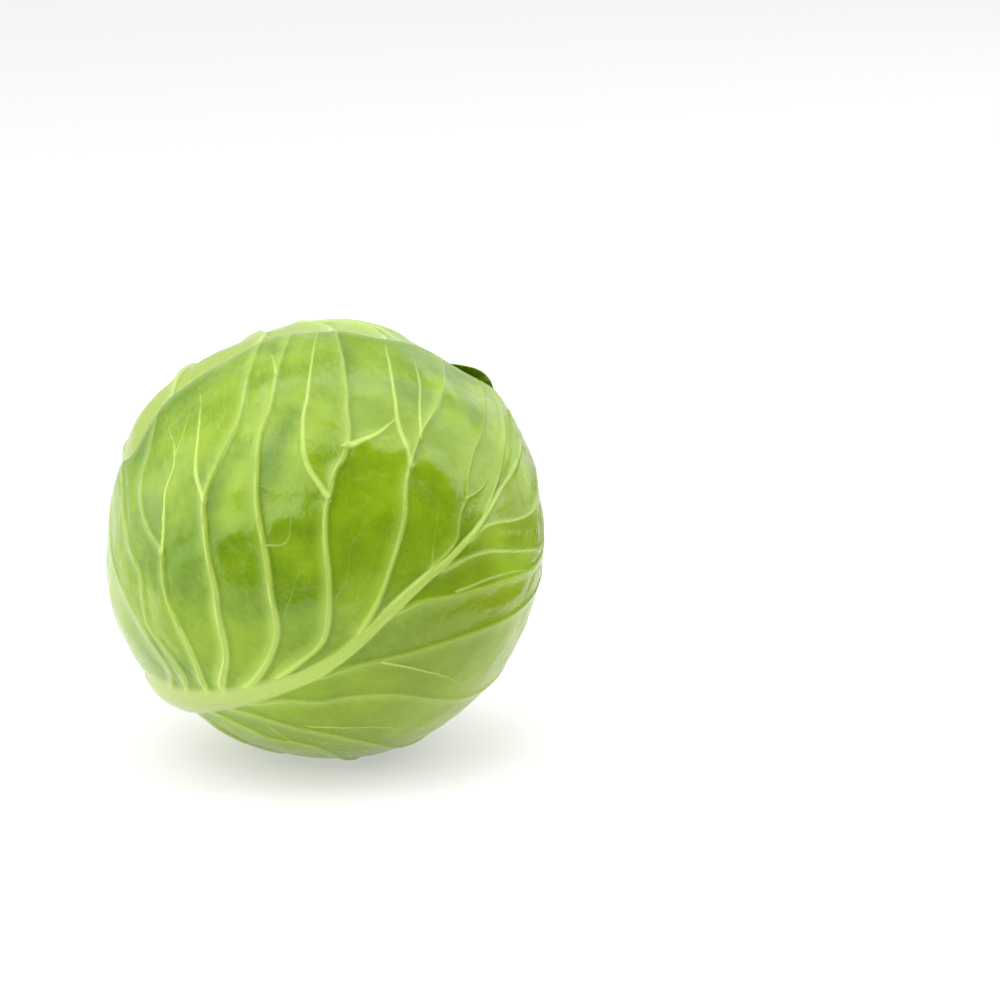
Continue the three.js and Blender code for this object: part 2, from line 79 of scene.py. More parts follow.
crown = from_angles(CROWN_AZIMUTH, CROWN_ELEVATION)
front_of_head = turned(unit(np.cross([0, 0, 1], crown)), crown, FRONT_LEAF_ROLL)
side_of_head = np.cross(crown, front_of_head)


def head_radius(way):
    """Distance from the head's centre to its surface, in mm, along each direction."""
    x, y, z = way @ front_of_head, way @ side_of_head, way @ crown
    radius = np.full(len(way), HEAD_RADIUS)
    for depth, across, along, phase in LUMPS:
        radius += depth * np.sin(across * x + along * y + 2 * z + phase)
    for azimuth, elevation, width, depth in DENTS:
        away = np.arccos(np.clip(way @ from_angles(azimuth, elevation), -1, 1))
        radius -= depth * smooth(1 - away / math.radians(width))
    from_stem = np.arccos(np.clip(-z, -1, 1))
    return radius - HOLLOW_DEPTH * smooth(1 - from_stem / math.radians(HOLLOW_RADIUS))


def floor_radius(way):
    down = np.minimum(way[:, 2], -0.2)
    return np.where(way[:, 2] < -0.2, -CENTRE_HEIGHT / down, 1e6)


def through_stops(stops, column, at):
    """A smooth line through a table's stops, read at many places."""
    stops = np.asarray(stops, float)
    last = len(stops) - 1
    i = np.clip(np.searchsorted(stops[:, 0], at, side="right") - 1, 0, last - 1)
    v = stops[:, column]
    before, start, end, after = v[np.maximum(i - 1, 0)], v[i], v[i + 1], v[np.minimum(i + 2, last)]
    t = np.clip((at - stops[i, 0]) / (stops[i + 1, 0] - stops[i, 0]), 0, 1)
    rise, fall = (end - before) / 2, (after - start) / 2
    return (start + rise * t + (3 * (end - start) - 2 * rise - fall) * t**2
            + (2 * (start - end) + rise + fall) * t**3)


def reach_of(leaf, bearing):
    """How far a leaf's margin lies from the middle of its blade on each bearing, in degrees."""
    bearing = np.atleast_1d(np.asarray(bearing, float))
    free = smooth((165 - np.abs(bearing)) / 30)
    wave = np.sin(np.radians(bearing * leaf["waves"]) + leaf["phase"])
    fine = 0.4 * np.sin(np.radians(bearing * 31) + 3 * leaf["phase"])
    fine += 0.3 * np.sin(np.radians(bearing * 53) + leaf["phase"])
    fine += 0.3 * np.sin(np.radians(bearing * 88) + 2 * leaf["phase"])
    return (through_stops(leaf["margin"], 1, bearing)
            + free * (leaf["scallop"] * wave + leaf["nibble"] * fine))


def way_on(leaf, flat):
    """Directions from the head's centre for places given on the leaf spread flat, in degrees."""
    arc = np.maximum(np.hypot(flat[..., 0], flat[..., 1]), 1e-9)
    share = np.sin(np.radians(arc)) / arc
    way = (leaf["middle"] * np.cos(np.radians(arc))[..., None]
           + leaf["side"] * (flat[..., 0] * share)[..., None]
           + crown * (flat[..., 1] * share)[..., None])
    return unit(way)


def inside_of(leaf, way):
    """How far inside a leaf's margin each direction lies, in mm, and its bearing."""
    arc = np.degrees(np.arccos(np.clip(way @ leaf["middle"], -1, 1)))
    bearing = np.degrees(np.arctan2(way @ leaf["side"], way @ crown))
    return np.radians(reach_of(leaf, bearing) - arc) * HEAD_RADIUS, bearing


def cover_of(leaf, way):
    return 1 - smooth((-inside_of(leaf, way)[0] - COVER_CLEAR) / COVER_FADE)


def curve_through(points, count):
    """Evenly spaced places along a smooth curve through the given ones."""
    p = np.asarray(points, float)
    p = np.vstack([2 * p[0] - p[1], p, 2 * p[-1] - p[-2]])
    u = np.linspace(0, 1, 50)[:, None]
    runs = []
    for k in range(1, len(p) - 2):
        a, b, c, d = p[k - 1:k + 3]
        s0, s1, s2 = (max(np.linalg.norm(q), 1e-4) ** 0.5 for q in (b - a, c - b, d - c))
        leave = ((b - a) / s0 - (c - a) / (s0 + s1) + (c - b) / s1) * s1
        come = ((c - b) / s1 - (d - b) / (s1 + s2) + (d - c) / s2) * s1
        runs.append(b + leave * u + (3 * (c - b) - 2 * leave - come) * u**2
                    + (2 * (b - c) + leave + come) * u**3)
    dense = np.vstack(runs)
    gone = np.concatenate([[0], np.cumsum(np.linalg.norm(np.diff(dense, axis=0), axis=1))])
    even = np.linspace(0, gone[-1], count)
    return np.stack([np.interp(even, gone, dense[:, k]) for k in (0, 1)], axis=1)


def rib_side(leaf, side, along):
    """The midrib's edge on one side, at each place along the leaf."""
    half = through_stops(leaf["midrib"], 2, along)
    return through_stops(leaf["midrib"], 1, along) + side * np.degrees(half / HEAD_RADIUS)


def spot(reach, bearing):
    bearing = np.radians(bearing)
    return np.stack(np.broadcast_arrays(reach * np.sin(bearing), reach * np.cos(bearing)), axis=-1)


def vein_line(leaf, side, vein, count):
    """A side vein's line on the flat leaf, from the midrib's edge to the margin."""
    start, via, end = vein
    foot = (rib_side(leaf, side, np.array([float(start)]))[0], start)
    return curve_through([foot, *via, spot(reach_of(leaf, end)[0], end)], count)


STEM_BEARING, CROWD = 172, np.array([0.5, 1.0, 1.6, 2.4])


def half_blade(leaf, side):
    """Rows of places that follow the side veins out from the midrib, crowded at each vein."""
    s = np.linspace(0, 1, leaf["columns"] + 1)
    veins = leaf["veins"][side]
    lowest = STEM_BEARING * 0.45 + abs(veins[0][2]) * 0.55
    base = side * (STEM_BEARING + (lowest - STEM_BEARING) * s)
    guides = [spot(reach_of(leaf, base), base)]
    guides += [vein_line(leaf, side, vein, len(s)) for vein in veins]
    tip, last = leaf["tip_bearing"], veins[-1][2]
    top = tip + (last - tip) * 0.5 * (0.12 + 0.88 * s)
    guides.append(spot(reach_of(leaf, top), top))
    rows, sags = [], []
    for g in range(len(guides) - 1):
        low, high = guides[g], guides[g + 1]
        width = np.linalg.norm(way_on(leaf, low) - way_on(leaf, high), axis=1) * HEAD_RADIUS
        near = np.minimum(1 / np.maximum(width, 0.01), 0.3 / CROWD[-1])
        first, final = g > 0, g < len(guides) - 2
        shares = [np.zeros(len(s))]
        if first:
            shares += [near * c for c in CROWD]
        start = near * CROWD[-1] * first
        stop = 1 - near * CROWD[-1] * final
        for k in range(1, leaf["panel_rows"] + 1):
            shares.append(start + (stop - start) * k / (leaf["panel_rows"] + 1))
        if final:
            shares += [1 - near * c for c in CROWD[::-1]]
        rows += [low + (high - low) * share[:, None] for share in shares]
        sags += [share * (1 - share) * width**2 / (2 * HEAD_RADIUS) for share in shares]
    rows.append(guides[-1])
    sags.append(np.zeros(len(s)))
    for row in rows[1:-1]:
        bearing = math.degrees(math.atan2(row[-1, 0], row[-1, 1]))
        row += (spot(reach_of(leaf, bearing)[0], bearing) - row[-1]) * (s**3)[:, None]
        if veins[0][0] < row[0, 1] < veins[-1][0]:
            row[:, 0] += (rib_side(leaf, side, row[:1, 1]) - row[0, 0]) * (1 - s)**4
    return np.array(rows), np.array(sags)


def flat_grid(leaf):
    """Both halves of the blade, joined over the midrib."""
    (upper, upper_sag), (lower, lower_sag) = half_blade(leaf, -1), half_blade(leaf, 1)
    crest = np.zeros((len(upper), 2))
    crest[:, 1] = (upper[:, 0, 1] + lower[:, 0, 1]) / 2
    crest[:, 0] = through_stops(leaf["midrib"], 1, crest[:, 1])
    crest[0] = spot(reach_of(leaf, 180)[0], 180)
    crest[-1] = spot(reach_of(leaf, leaf["tip_bearing"])[0], leaf["tip_bearing"])
    flank = np.linspace(0, 1, leaf["flank"] + 2)[1:-1, None]
    def beside(foot):
        return crest[:, None] + (foot - crest)[:, None] * flank[None]
    grid = np.concatenate([upper[:, ::-1], beside(upper[:, 0])[:, ::-1], crest[:, None],
                           beside(lower[:, 0]), lower], axis=1)
    level = np.zeros((len(upper), 2 * leaf["flank"] + 1))
    return grid, np.concatenate([upper_sag[:, ::-1], level, lower_sag], axis=1)


FAR, CLOSE = 30.0, 15


def distance_to(way, line):
    """Distance in mm from each direction to a line of directions, the share of the line at the
    nearest place, and the same distance with a sign for the side that it lies on."""
    away = np.full(len(way), FAR)
    share = np.zeros(len(way))
    sided = np.full(len(way), FAR)
    step = np.linalg.norm(line[1] - line[0]) * HEAD_RADIUS
    coarse = line[::6] if len(line) > 12 else line
    close = np.zeros(len(way), bool)
    for place in coarse:
        close |= np.linalg.norm(way - place, axis=1) * HEAD_RADIUS < CLOSE + 6 * step
    near = way[close]
    if not len(near):
        return away, share, sided
    a, b = line[:-1], line[1:]
    run = b - a
    length = np.maximum(np.sum(run * run, axis=1), 1e-12)
    t = np.clip((near @ run.T - np.sum(a * run, axis=1)) / length, 0, 1)
    offset = near[:, None] - (a[None] + t[..., None] * run[None])
    gap = np.sqrt(np.sum(offset * offset, axis=2))
    k = np.argmin(gap, axis=1)
    pick = np.arange(len(near))
    left = np.cross(near, run[k])
    sign = np.sign(np.sum(offset[pick, k] * left, axis=1))
    away[close] = gap[pick, k] * HEAD_RADIUS
    share[close] = (k + t[pick, k]) / len(run)
    sided[close] = np.where(sign == 0, 1, sign) * away[close]
    return away, share, sided


def round_over(t):
    return np.maximum(1 - t * t, 0) ** 1.3


# pairs of values are at a vein's start and end, or on its stem side and its crown side
VEIN_WIDTH = (1.9, 0.68)
VEIN_HEIGHT = (1.25, 0.25)
VEIN_CORE = (1.0, -0.1)
VEIN_FOOT = (0.14, 1.0)
FORK_WIDTH = (0.75, 0.16)
FORK_HEIGHT = 0.5
PANEL_BULGE = 0.3
PANEL_SHOULDER = 9.0
RIB_SHOULDER, RIB_ROUNDNESS = 2.2, 0.55
STEP_HEIGHT, STEP_SHARE = 0.45, 1.2
STEP_WIDTH = (7.0, 4.5)
MARGIN_FADE = 9.0
EDGE_PRESS, EDGE_WIDTH = 0.7, 5
EDGE_SHARE = 0.55
FORK_ROOM = 5


def from_to(pair, t):
    return pair[0] + (pair[1] - pair[0]) * t


def set_with_room(sets, line):
    """The first set whose small veins all lie well away from a line, or else the roomiest, so
    that small veins that meet are kept apart."""
    def room(group):
        return min((np.linalg.norm(line[:, None] - other[None], axis=2).min()
                    for other in group["lines"]), default=1.0)
    roomy = [group for group in sets if room(group) * HEAD_RADIUS > FORK_ROOM]
    return roomy[0] if roomy else max(sets, key=room)


def blade_sheet(leaf, name):
    """The leaf spread flat as one sheet of faces, with what the wrapping needs at each place."""
    grid, sag = flat_grid(leaf)
    rows, columns = grid.shape[:2]
    flat = grid.reshape(-1, 2)
    way = way_on(leaf, flat)
    inside, bearing = inside_of(leaf, way)
    inside = np.maximum(inside, 0)

    ridge = np.zeros(len(way))
    open_blade = np.full(len(way), FAR)
    core = np.full(len(way), FAR)
    nearest, crownward = np.full(len(way), FAR), np.full(len(way), FAR)
    strength = np.zeros(len(way))
    for side in (-1, 1):
        for vein in leaf["veins"][side]:
            line = way_on(leaf, vein_line(leaf, side, vein, 90))
            stout = leaf.get("stout", {}).get((side, vein[0]), 1)
            away, t, sided = distance_to(way, line)
            crownward = np.where(away < nearest, sided * side, crownward)
            strength = np.where(away < nearest, stout * (1 - 0.5 * t), strength)
            nearest = np.minimum(nearest, away)
            foot = smooth(1 - t / VEIN_FOOT[0])
            half = from_to(VEIN_WIDTH, t) + VEIN_FOOT[1] * foot
            height = from_to(VEIN_HEIGHT, t) * leaf["ribbing"]
            shape = 0.6 * smooth(1 - away / (2.6 * half)) + 0.4 * round_over(away / (0.7 * half))
            ridge = (ridge**3 + (height * shape * stout)**3)**(1 / 3)
            open_blade = np.minimum(open_blade, away - half)
            core = np.minimum(core, away - foot * 0.5 * VEIN_FOOT[1] + 0.9 * (1 - stout)
                              - from_to(VEIN_CORE, t))
    rib = leaf["midrib"]
    half = through_stops(rib, 2, flat[:, 1])
    height = through_stops(rib, 3, flat[:, 1])
    from_rib = np.abs(flat[:, 0] - through_stops(rib, 1, flat[:, 1])) * math.radians(HEAD_RADIUS)
    crest = RIB_ROUNDNESS * round_over(from_rib / (1.15 * half))
    crest += (1 - RIB_ROUNDNESS) * smooth(1 - from_rib / (RIB_SHOULDER * half))
    ridge = (ridge**3 + (height * crest)**3)**(1 / 3)
    open_blade = np.minimum(open_blade, from_rib - half)
    rib_share = from_rib / half * np.where(flat[:, 0] < through_stops(rib, 1, flat[:, 1]), -1, 1)
    # the pale fan, and patches of painted light and painted shade, as strengths at each place
    patches = {}
    for key in ("fan", "paler", "deeper"):
        patches[key] = np.zeros(len(way))
        for amount, width, points in leaf.get(key, []):
            away = distance_to(way, way_on(leaf, curve_through(points, 40)))[0]
            patches[key] = np.maximum(patches[key], amount * smooth(1 - away / width))

    sets = [{"sided": np.full(len(way), FAR), "far": np.full(len(way), FAR),
             "half": np.ones(len(way)), "lines": []} for _ in range(3)]
    for stout, points in leaf["forks"]:
        line = way_on(leaf, curve_through(points, 60))
        away, t, sided = distance_to(way, line)
        half = stout * from_to(FORK_WIDTH, t)
        ridge = np.maximum(ridge, FORK_HEIGHT * stout * (1 - 0.7 * t) * leaf["ribbing"]
                           * round_over(away / (2.2 * half + 0.4)))
        group = set_with_room(sets, line)
        group["lines"].append(line)
        nearer = away < group["far"]
        group["sided"] = np.where(nearer, sided, group["sided"])
        group["far"] = np.where(nearer, away, group["far"])
        group["half"] = np.where(nearer, half, group["half"])
    fork_far = np.minimum.reduce([group["far"] for group in sets])

    bulge = PANEL_BULGE * leaf["ribbing"] * smooth(open_blade / PANEL_SHOULDER)
    bulge = bulge * (0.5 + 0.5 * smooth(fork_far / 5))
    bulge -= leaf["taut"] * 1.6 * np.tanh(sag.ravel() / 1.6)
    step = smooth(1 + crownward / STEP_WIDTH[0]) * (crownward < 0)
    step -= STEP_SHARE * smooth(1 - crownward / STEP_WIDTH[1]) * (crownward >= 0)
    bulge += STEP_HEIGHT * leaf["ribbing"] * strength * step * smooth(np.abs(rib_share) - 1)
    for height, width, points in leaf.get("brows", []):
        away = distance_to(way, way_on(leaf, curve_through(points, 40)))[0]
        bulge += height * smooth(1 - away / width) * smooth(open_blade / 3)
    bulge *= smooth(inside / MARGIN_FADE)
    free = smooth((150 - np.abs(bearing)) / 40)
    wave = 0.5 + 0.5 * np.sin(np.radians(bearing * leaf["waves"] * 1.7) + leaf["phase"] * 2)
    lift = leaf["lift"] * free * wave * smooth(1 - inside / leaf["lift_width"])
    lift -= EDGE_PRESS * smooth(1 - inside / EDGE_WIDTH)

    at, spread, tall, deep = leaf.get("flap", (0, 1, 0, 1))
    flap = tall * smooth(1 - np.abs(bearing - at) / spread) * smooth(1 - inside / deep)

    depth, bare = np.zeros(len(way)), np.ones(len(way))
    for outer in leaf["under"]:
        cover = cover_of(outer, way)
        depth += cover * (BLADE_THICKNESS + LEAF_GAP)
        bare *= 1 - cover
    skin = head_radius(way) + (bulge + lift) * bare + flap
    floor = floor_radius(way)
    crest = np.minimum(skin + ridge * bare, floor) - depth
    off_floor = smooth((floor - skin) / 3)
    skin = np.minimum(skin, floor) - depth

    i, j = np.meshgrid(np.arange(rows - 1), np.arange(columns - 1), indexing="ij")
    a = (i * columns + j).ravel()
    quads = np.stack([a, a + 1, a + columns + 1, a + columns], axis=1)

    sheet = bpy.data.meshes.new(name)
    places = np.column_stack([flat, np.zeros(len(flat))])
    sheet.from_pydata(places.tolist(), [], quads.tolist())
    numbers = {
        "skin": skin, "ridge": crest - skin, "pucker_here": bare * off_floor * smooth(inside / 12),
        "thin": from_to((EDGE_SHARE, 1), smooth(inside / EDGE_WIDTH)), "open_blade": open_blade, "core": core,
        "margin": inside, "bare": bare, "rib_share": rib_share, "crownward": crownward,
        "strength": strength, **patches,
    }
    for k, group in enumerate(sets):
        numbers.update({f"fork_{k}": group["sided"], f"fork_far_{k}": group["far"],
                        f"fork_half_{k}": group["half"]})
    for key, values in numbers.items():
        layer = sheet.attributes.new(key, "FLOAT", "POINT")
        layer.data.foreach_set("value", values.astype(np.float32))
    spread = sheet.uv_layers.new(name="spread")
    corner = np.zeros(len(sheet.loops), np.int32)
    sheet.loops.foreach_get("vertex_index", corner)
    spread.data.foreach_set("uv", (flat[corner] * math.radians(HEAD_RADIUS) / 1000).ravel())
    return sheet


def place(tree, kind, inputs=None, **settings):
    """Puts a node in a tree, sets it, and joins or sets its inputs."""
    node = tree.nodes.new(kind)
    for key, value in settings.items():
        setattr(node, key, value)
    for key, value in (inputs or {}).items():
        if isinstance(value, bpy.types.NodeSocket):
            tree.links.new(value, node.inputs[key])
        else:
            node.inputs[key].default_value = value
    return node


def maths(tree, operation, *values, clamp=False):
    inputs = dict(enumerate(values))
    return place(tree, "ShaderNodeMath", inputs, operation=operation, use_clamp=clamp).outputs[0]


def leaf_wrapping():
    """Wraps a flat sheet round the head and gives it its thickness, ridges and puckers."""
    tree = bpy.data.node_groups.new("leaf wrapping", "GeometryNodeTree")
    sockets = [
        ("Flat sheet", "NodeSocketGeometry", None), ("Middle", "NodeSocketVector", None),
        ("Side", "NodeSocketVector", None), ("Crown", "NodeSocketVector", None),
        ("Centre", "NodeSocketVector", (0, 0, CENTRE_HEIGHT / 1000)),
        ("Blade thickness", "NodeSocketFloat", BLADE_THICKNESS),
        ("Vein height", "NodeSocketFloat", 1.0), ("Pucker height", "NodeSocketFloat", 0.8),
        ("Pucker size", "NodeSocketFloat", 13.0), ("Pucker seed", "NodeSocketFloat", 1.0),
        ("Leaf", "NodeSocketMaterial", None),
    ]
    for label, kind, value in sockets:
        socket = tree.interface.new_socket(name=label, in_out="INPUT", socket_type=kind)
        if value is not None:
            socket.default_value = value
    tree.interface.new_socket(name="Blade", in_out="OUTPUT", socket_type="NodeSocketGeometry")
    into = tree.nodes.new("NodeGroupInput").outputs
    raised = place(tree, "GeometryNodeExtrudeMesh", {
        "Mesh": into["Flat sheet"], "Offset": (0, 0, 1), "Offset Scale": 1.0, "Individual": False,
    }, mode="FACES")
    turned_over = place(tree, "GeometryNodeFlipFaces", {"Mesh": into["Flat sheet"]})
    both = tree.nodes.new("GeometryNodeJoinGeometry")
    tree.links.new(raised.outputs["Mesh"], both.inputs[0])
    tree.links.new(turned_over.outputs["Mesh"], both.inputs[0])
    shell = place(tree, "GeometryNodeMergeByDistance",
                  {"Geometry": both.outputs[0], "Distance": 1e-5})

    def read(key):
        return place(tree, "GeometryNodeInputNamedAttribute", {"Name": key}).outputs["Attribute"]

    flat = place(tree, "ShaderNodeSeparateXYZ",
                 {0: tree.nodes.new("GeometryNodeInputPosition").outputs[0]}).outputs
    squares = maths(tree, "ADD", maths(tree, "MULTIPLY", flat[0], flat[0]),
                    maths(tree, "MULTIPLY", flat[1], flat[1]))
    arc = maths(tree, "MAXIMUM", maths(tree, "SQRT", squares), 1e-6)
    turn = maths(tree, "RADIANS", arc)
    share = maths(tree, "DIVIDE", maths(tree, "SINE", turn), arc)

    def scaled(vector, amount):
        return place(tree, "ShaderNodeVectorMath", {0: vector, "Scale": amount},
                     operation="SCALE").outputs[0]

    def summed(a, b):
        return place(tree, "ShaderNodeVectorMath", {0: a, 1: b}, operation="ADD").outputs[0]

    way = summed(scaled(into["Middle"], maths(tree, "COSINE", turn)),
                 summed(scaled(into["Side"], maths(tree, "MULTIPLY", flat[0], share)),
                        scaled(into["Crown"], maths(tree, "MULTIPLY", flat[1], share))))
    size = maths(tree, "DIVIDE", HEAD_RADIUS, into["Pucker size"])
    noise = place(tree, "ShaderNodeTexNoise", {
        "Vector": way, "W": into["Pucker seed"], "Scale": size, "Detail": 4.0, "Roughness": 0.5,
    }, noise_dimensions="4D")
    between = place(tree, "ShaderNodeMapRange", {0: read("open_blade"), 1: 0.0, 2: 5.0},
                    interpolation_type="SMOOTHSTEP").outputs[0]
    pucker = maths(tree, "MULTIPLY", maths(tree, "SUBTRACT", noise.outputs[0], 0.5),
                   into["Pucker height"])
    pucker = maths(tree, "MULTIPLY", pucker, maths(tree, "MULTIPLY", between, read("pucker_here")))
    skin = maths(tree, "ADD", read("skin"), pucker)
    outer = maths(tree, "MULTIPLY_ADD", read("ridge"), into["Vein height"], skin)
    inner = maths(tree, "SUBTRACT", skin,
                  maths(tree, "MULTIPLY", into["Blade thickness"], read("thin")))
    lift = maths(tree, "MULTIPLY", flat[2], maths(tree, "SUBTRACT", outer, inner))
    radius = maths(tree, "DIVIDE", maths(tree, "ADD", inner, lift), 1000.0)
    wrapped = place(tree, "GeometryNodeSetPosition", {
        "Geometry": shell.outputs[0], "Position": summed(into["Centre"], scaled(way, radius))})
    soft = place(tree, "GeometryNodeSetShadeSmooth", {"Geometry": wrapped.outputs[0]})
    real = place(tree, "GeometryNodeRealizeInstances", {"Geometry": soft.outputs[0]})
    done = place(tree, "GeometryNodeSetMaterial",
                 {"Geometry": real.outputs[0], "Material": into["Leaf"]})
    tree.links.new(done.outputs[0], tree.nodes.new("NodeGroupOutput").inputs[0])
    return tree


# a lighter, yellower tint that is partly painted light, and the waxy bloom
LIT_YELLOW_TINT, BLOOMED = (0.31, 0.40, 0.005, 1), (0.34, 0.52, 0.03, 1)
# colours of painted light and painted shade, laid on in patches
PAINTED_LIGHT_TINT, PAINTED_SHADE_TINT = (0.33, 0.53, 0.02, 1), (0.12, 0.245, 0.001, 1)
# the veinlets' net, painted shade in the crease beside each vein, and a painted shadow line along the margin
NETTED, CREASE_SHADE_TINT, MARGIN_SHADE_TINT = (0.38, 0.56, 0.02, 1), (0.12, 0.23, 0.001, 1), (0.27, 0.33, 0.04, 1)


def leaf_surface():
    """Colour, gloss and fine relief of a leaf: veins, their net, waxy bloom and tone, and painted
    light and shade beside the veins, in patches and along the margin.
    """
    group = bpy.data.node_groups.new("leaf surface", "ShaderNodeTree")
    sockets = [
        ("Panel dark", "NodeSocketColor", (0.15, 0.3, 0.01, 1)),
        ("Panel light", "NodeSocketColor", (0.3, 0.5, 0.05, 1)),
        ("Vein", "NodeSocketColor", (0.55, 0.75, 0.2, 1)),
        ("Stalk", "NodeSocketColor", (0.7, 0.8, 0.4, 1)),
        ("Net strength", "NodeSocketFloat", 0.3), ("Bloom", "NodeSocketFloat", 0.2),
        ("Seed", "NodeSocketFloat", 0.0),
    ]
    for label, kind, value in sockets:
        group.interface.new_socket(name=label, in_out="INPUT", socket_type=kind).default_value = value
    for label, kind in [("Colour", "NodeSocketColor"), ("Roughness", "NodeSocketFloat"),
                        ("Relief", "NodeSocketFloat")]:
        group.interface.new_socket(name=label, in_out="OUTPUT", socket_type=kind)
    into = group.nodes.new("NodeGroupInput").outputs
    out = group.nodes.new("NodeGroupOutput").inputs

    def read(key):
        return place(group, "ShaderNodeAttribute", attribute_name=key).outputs["Fac"]

    def ramp(value, low, high, start=0.0, end=1.0):
        return place(group, "ShaderNodeMapRange", {0: value, 1: low, 2: high, 3: start, 4: end},
                     interpolation_type="SMOOTHSTEP").outputs[0]

    def blend(amount, a, b):
        return place(group, "ShaderNodeMix", {0: amount, 6: a, 7: b},
                     data_type="RGBA").outputs[2]

    def noise(vector, scale, detail, offset):
        seed = maths(group, "ADD", into["Seed"], offset)
        return place(group, "ShaderNodeTexNoise", {
            "Vector": vector, "W": seed, "Scale": scale, "Detail": detail,
        }, noise_dimensions="4D").outputs[0]

    def times(a, b):
        return maths(group, "MULTIPLY", a, b)

    def plus(a, b):
        return maths(group, "ADD", a, b)

    def stretched(vector, amount):
        return place(group, "ShaderNodeVectorMath", {0: vector, 1: amount},
                     operation="MULTIPLY").outputs[0]

    spread = place(group, "ShaderNodeUVMap", uv_map="spread").outputs[0]
    where = place(group, "ShaderNodeTexCoord").outputs["Object"]
    core, margin, rib_share = read("core"), read("margin"), read("rib_share")
    crownward = read("crownward")

    # a small vein shows where the nearest side of it is near and the vein itself is too
    fork = 0.0
    for k in range(3):
        gap = maths(group, "MAXIMUM", maths(group, "ABSOLUTE", read(f"fork_{k}")),
                    maths(group, "SUBTRACT", read(f"fork_far_{k}"), 1.3))
        half = read(f"fork_half_{k}")
        line = ramp(maths(group, "DIVIDE", gap, half), 0.3, 1.5, 1.0, 0.0)
        line = times(line, ramp(half, 0.1, 0.8, 0.2, 1.0))
        fork = maths(group, "MAXIMUM", fork, line)
    wander = place(group, "ShaderNodeTexNoise", {"Vector": spread, "Scale": 90.0, "Detail": 2.0})
    bent = place(group, "ShaderNodeVectorMath", {
        0: wander.outputs["Color"], 1: (0.004, 0.004, 0), 2: spread,
    }, operation="MULTIPLY_ADD").outputs[0]

    def net(scale, width):
        cells = place(group, "ShaderNodeTexVoronoi", {"Vector": bent, "Scale": scale},
                      feature="DISTANCE_TO_EDGE").outputs["Distance"]
        return ramp(cells, width * 0.25, width, 1.0, 0.0)

    nets = plus(times(net(150.0, 0.10), 0.55), times(net(330.0, 0.14), 0.45))
    nets = times(nets, ramp(noise(where, 30.0, 1.0, 7.0), 0.35, 0.6, 0.35, 1.0))
    patches = noise(where, 22.0, 3.0, 0.0)
    mottle = noise(where, 75.0, 3.0, 2.0)
    flecks = noise(where, 160.0, 2.0, 3.0)
    brushed = noise(stretched(bent, (190, 330, 1)), 1.0, 3.0, 8.0)

    def off_middle(value, amount):
        return times(maths(group, "SUBTRACT", value, 0.5), amount)

    tone = plus(ramp(patches, 0.34, 0.66), off_middle(brushed, 1.0))
    tone = plus(tone, off_middle(mottle, 1.3))
    tone = maths(group, "ADD", tone, off_middle(flecks, 0.35), clamp=True)
    colour = blend(tone, into["Panel dark"], into["Panel light"])
    film = times(ramp(noise(where, 9.0, 4.0, 5.0), 0.45, 0.7), into["Bloom"])
    across, along = place(group, "ShaderNodeSeparateXYZ", {0: spread}).outputs[:2]
    # partly painted light: the lower half-blade drawn lighter and yellower in place of more diffuse light
    # from the right, with the leaf's own yellower tone there
    colour = blend(ramp(across, 0.0, 0.03, 0.0, 0.5), colour, LIT_YELLOW_TINT)
    colour = blend(film, colour, BLOOMED)
    # painted light: lighter patches where more light falls on the blade, broken up by the mottle
    paler = times(read("paler"), ramp(mottle, 0.3, 0.6, 0.7, 1.0))
    colour = blend(paler, colour, PAINTED_LIGHT_TINT)
    # painted shade: darker patches beside the veins and on panels that the light misses
    deeper = times(read("deeper"), ramp(mottle, 0.35, 0.6, 1.0, 0.6))
    colour = blend(deeper, colour, PAINTED_SHADE_TINT)
    colour = blend(times(nets, into["Net strength"]), colour, NETTED)
    stemward = ramp(crownward, -0.8, 0.4, 1.0, 0.0)
    strength = read("strength")
    # painted highlight: a pale band on the stem side of each vein, its lit shoulder
    painted_lit_shoulder = times(stemward, ramp(core, -0.5, 5.5, 0.42, 0.0))
    painted_lit_shoulder = times(painted_lit_shoulder, strength)
    # painted shade: a dark band in the crease on the crown side of each vein
    painted_crease_shade = times(ramp(crownward, 0.2, 1.3), ramp(crownward, 1.3, 4.2, 0.34, 0.0))
    painted_crease_shade = times(painted_crease_shade, strength)
    colour = blend(painted_lit_shoulder, colour, into["Vein"])
    colour = blend(painted_crease_shade, colour, CREASE_SHADE_TINT)
    colour = blend(times(fork, 0.85), colour, into["Vein"])
    line = times(ramp(core, -0.6, 1.0, 1.0, 0.0), ramp(strength, 0.45, 0.9, 0.55, 0.95))
    colour = blend(line, colour, into["Vein"])
    pale_end = ramp(along, 0.02, -0.06)
    rib_colour = blend(pale_end, into["Vein"], into["Stalk"])
    flesh = times(ramp(rib_share, -1.45, -0.75, 0.0, 0.9), ramp(rib_share, 0.9, 1.25, 1.0, 0.0))
    colour = blend(flesh, colour, rib_colour)
    colour = blend(ramp(along, -0.055, -0.125, 0.0, 0.8), colour, into["Stalk"])
    streaks = noise(stretched(spread, (900, 25, 1)), 1.0, 2.0, 1.0)
    combed = noise(stretched(spread, (70, 700, 1)), 1.0, 2.0, 6.0)
    colour = blend(times(read("fan"), ramp(combed, 0.35, 0.65, 0.1, 0.7)),
                   colour, into["Stalk"])
    on_rib = ramp(maths(group, "ABSOLUTE", rib_share), 0.7, 1.1, 1.0, 0.0)
    colour = blend(times(on_rib, ramp(streaks, 0.35, 0.7, 0.0, 0.2)), colour, into["Panel light"])
    # painted shade: a thin darker, browner line along the margin, where the edge stands off the leaf below
    colour = blend(ramp(margin, 0.2, 1.5, 0.3, 0.0), colour, MARGIN_SHADE_TINT)
    group.links.new(colour, out["Colour"])

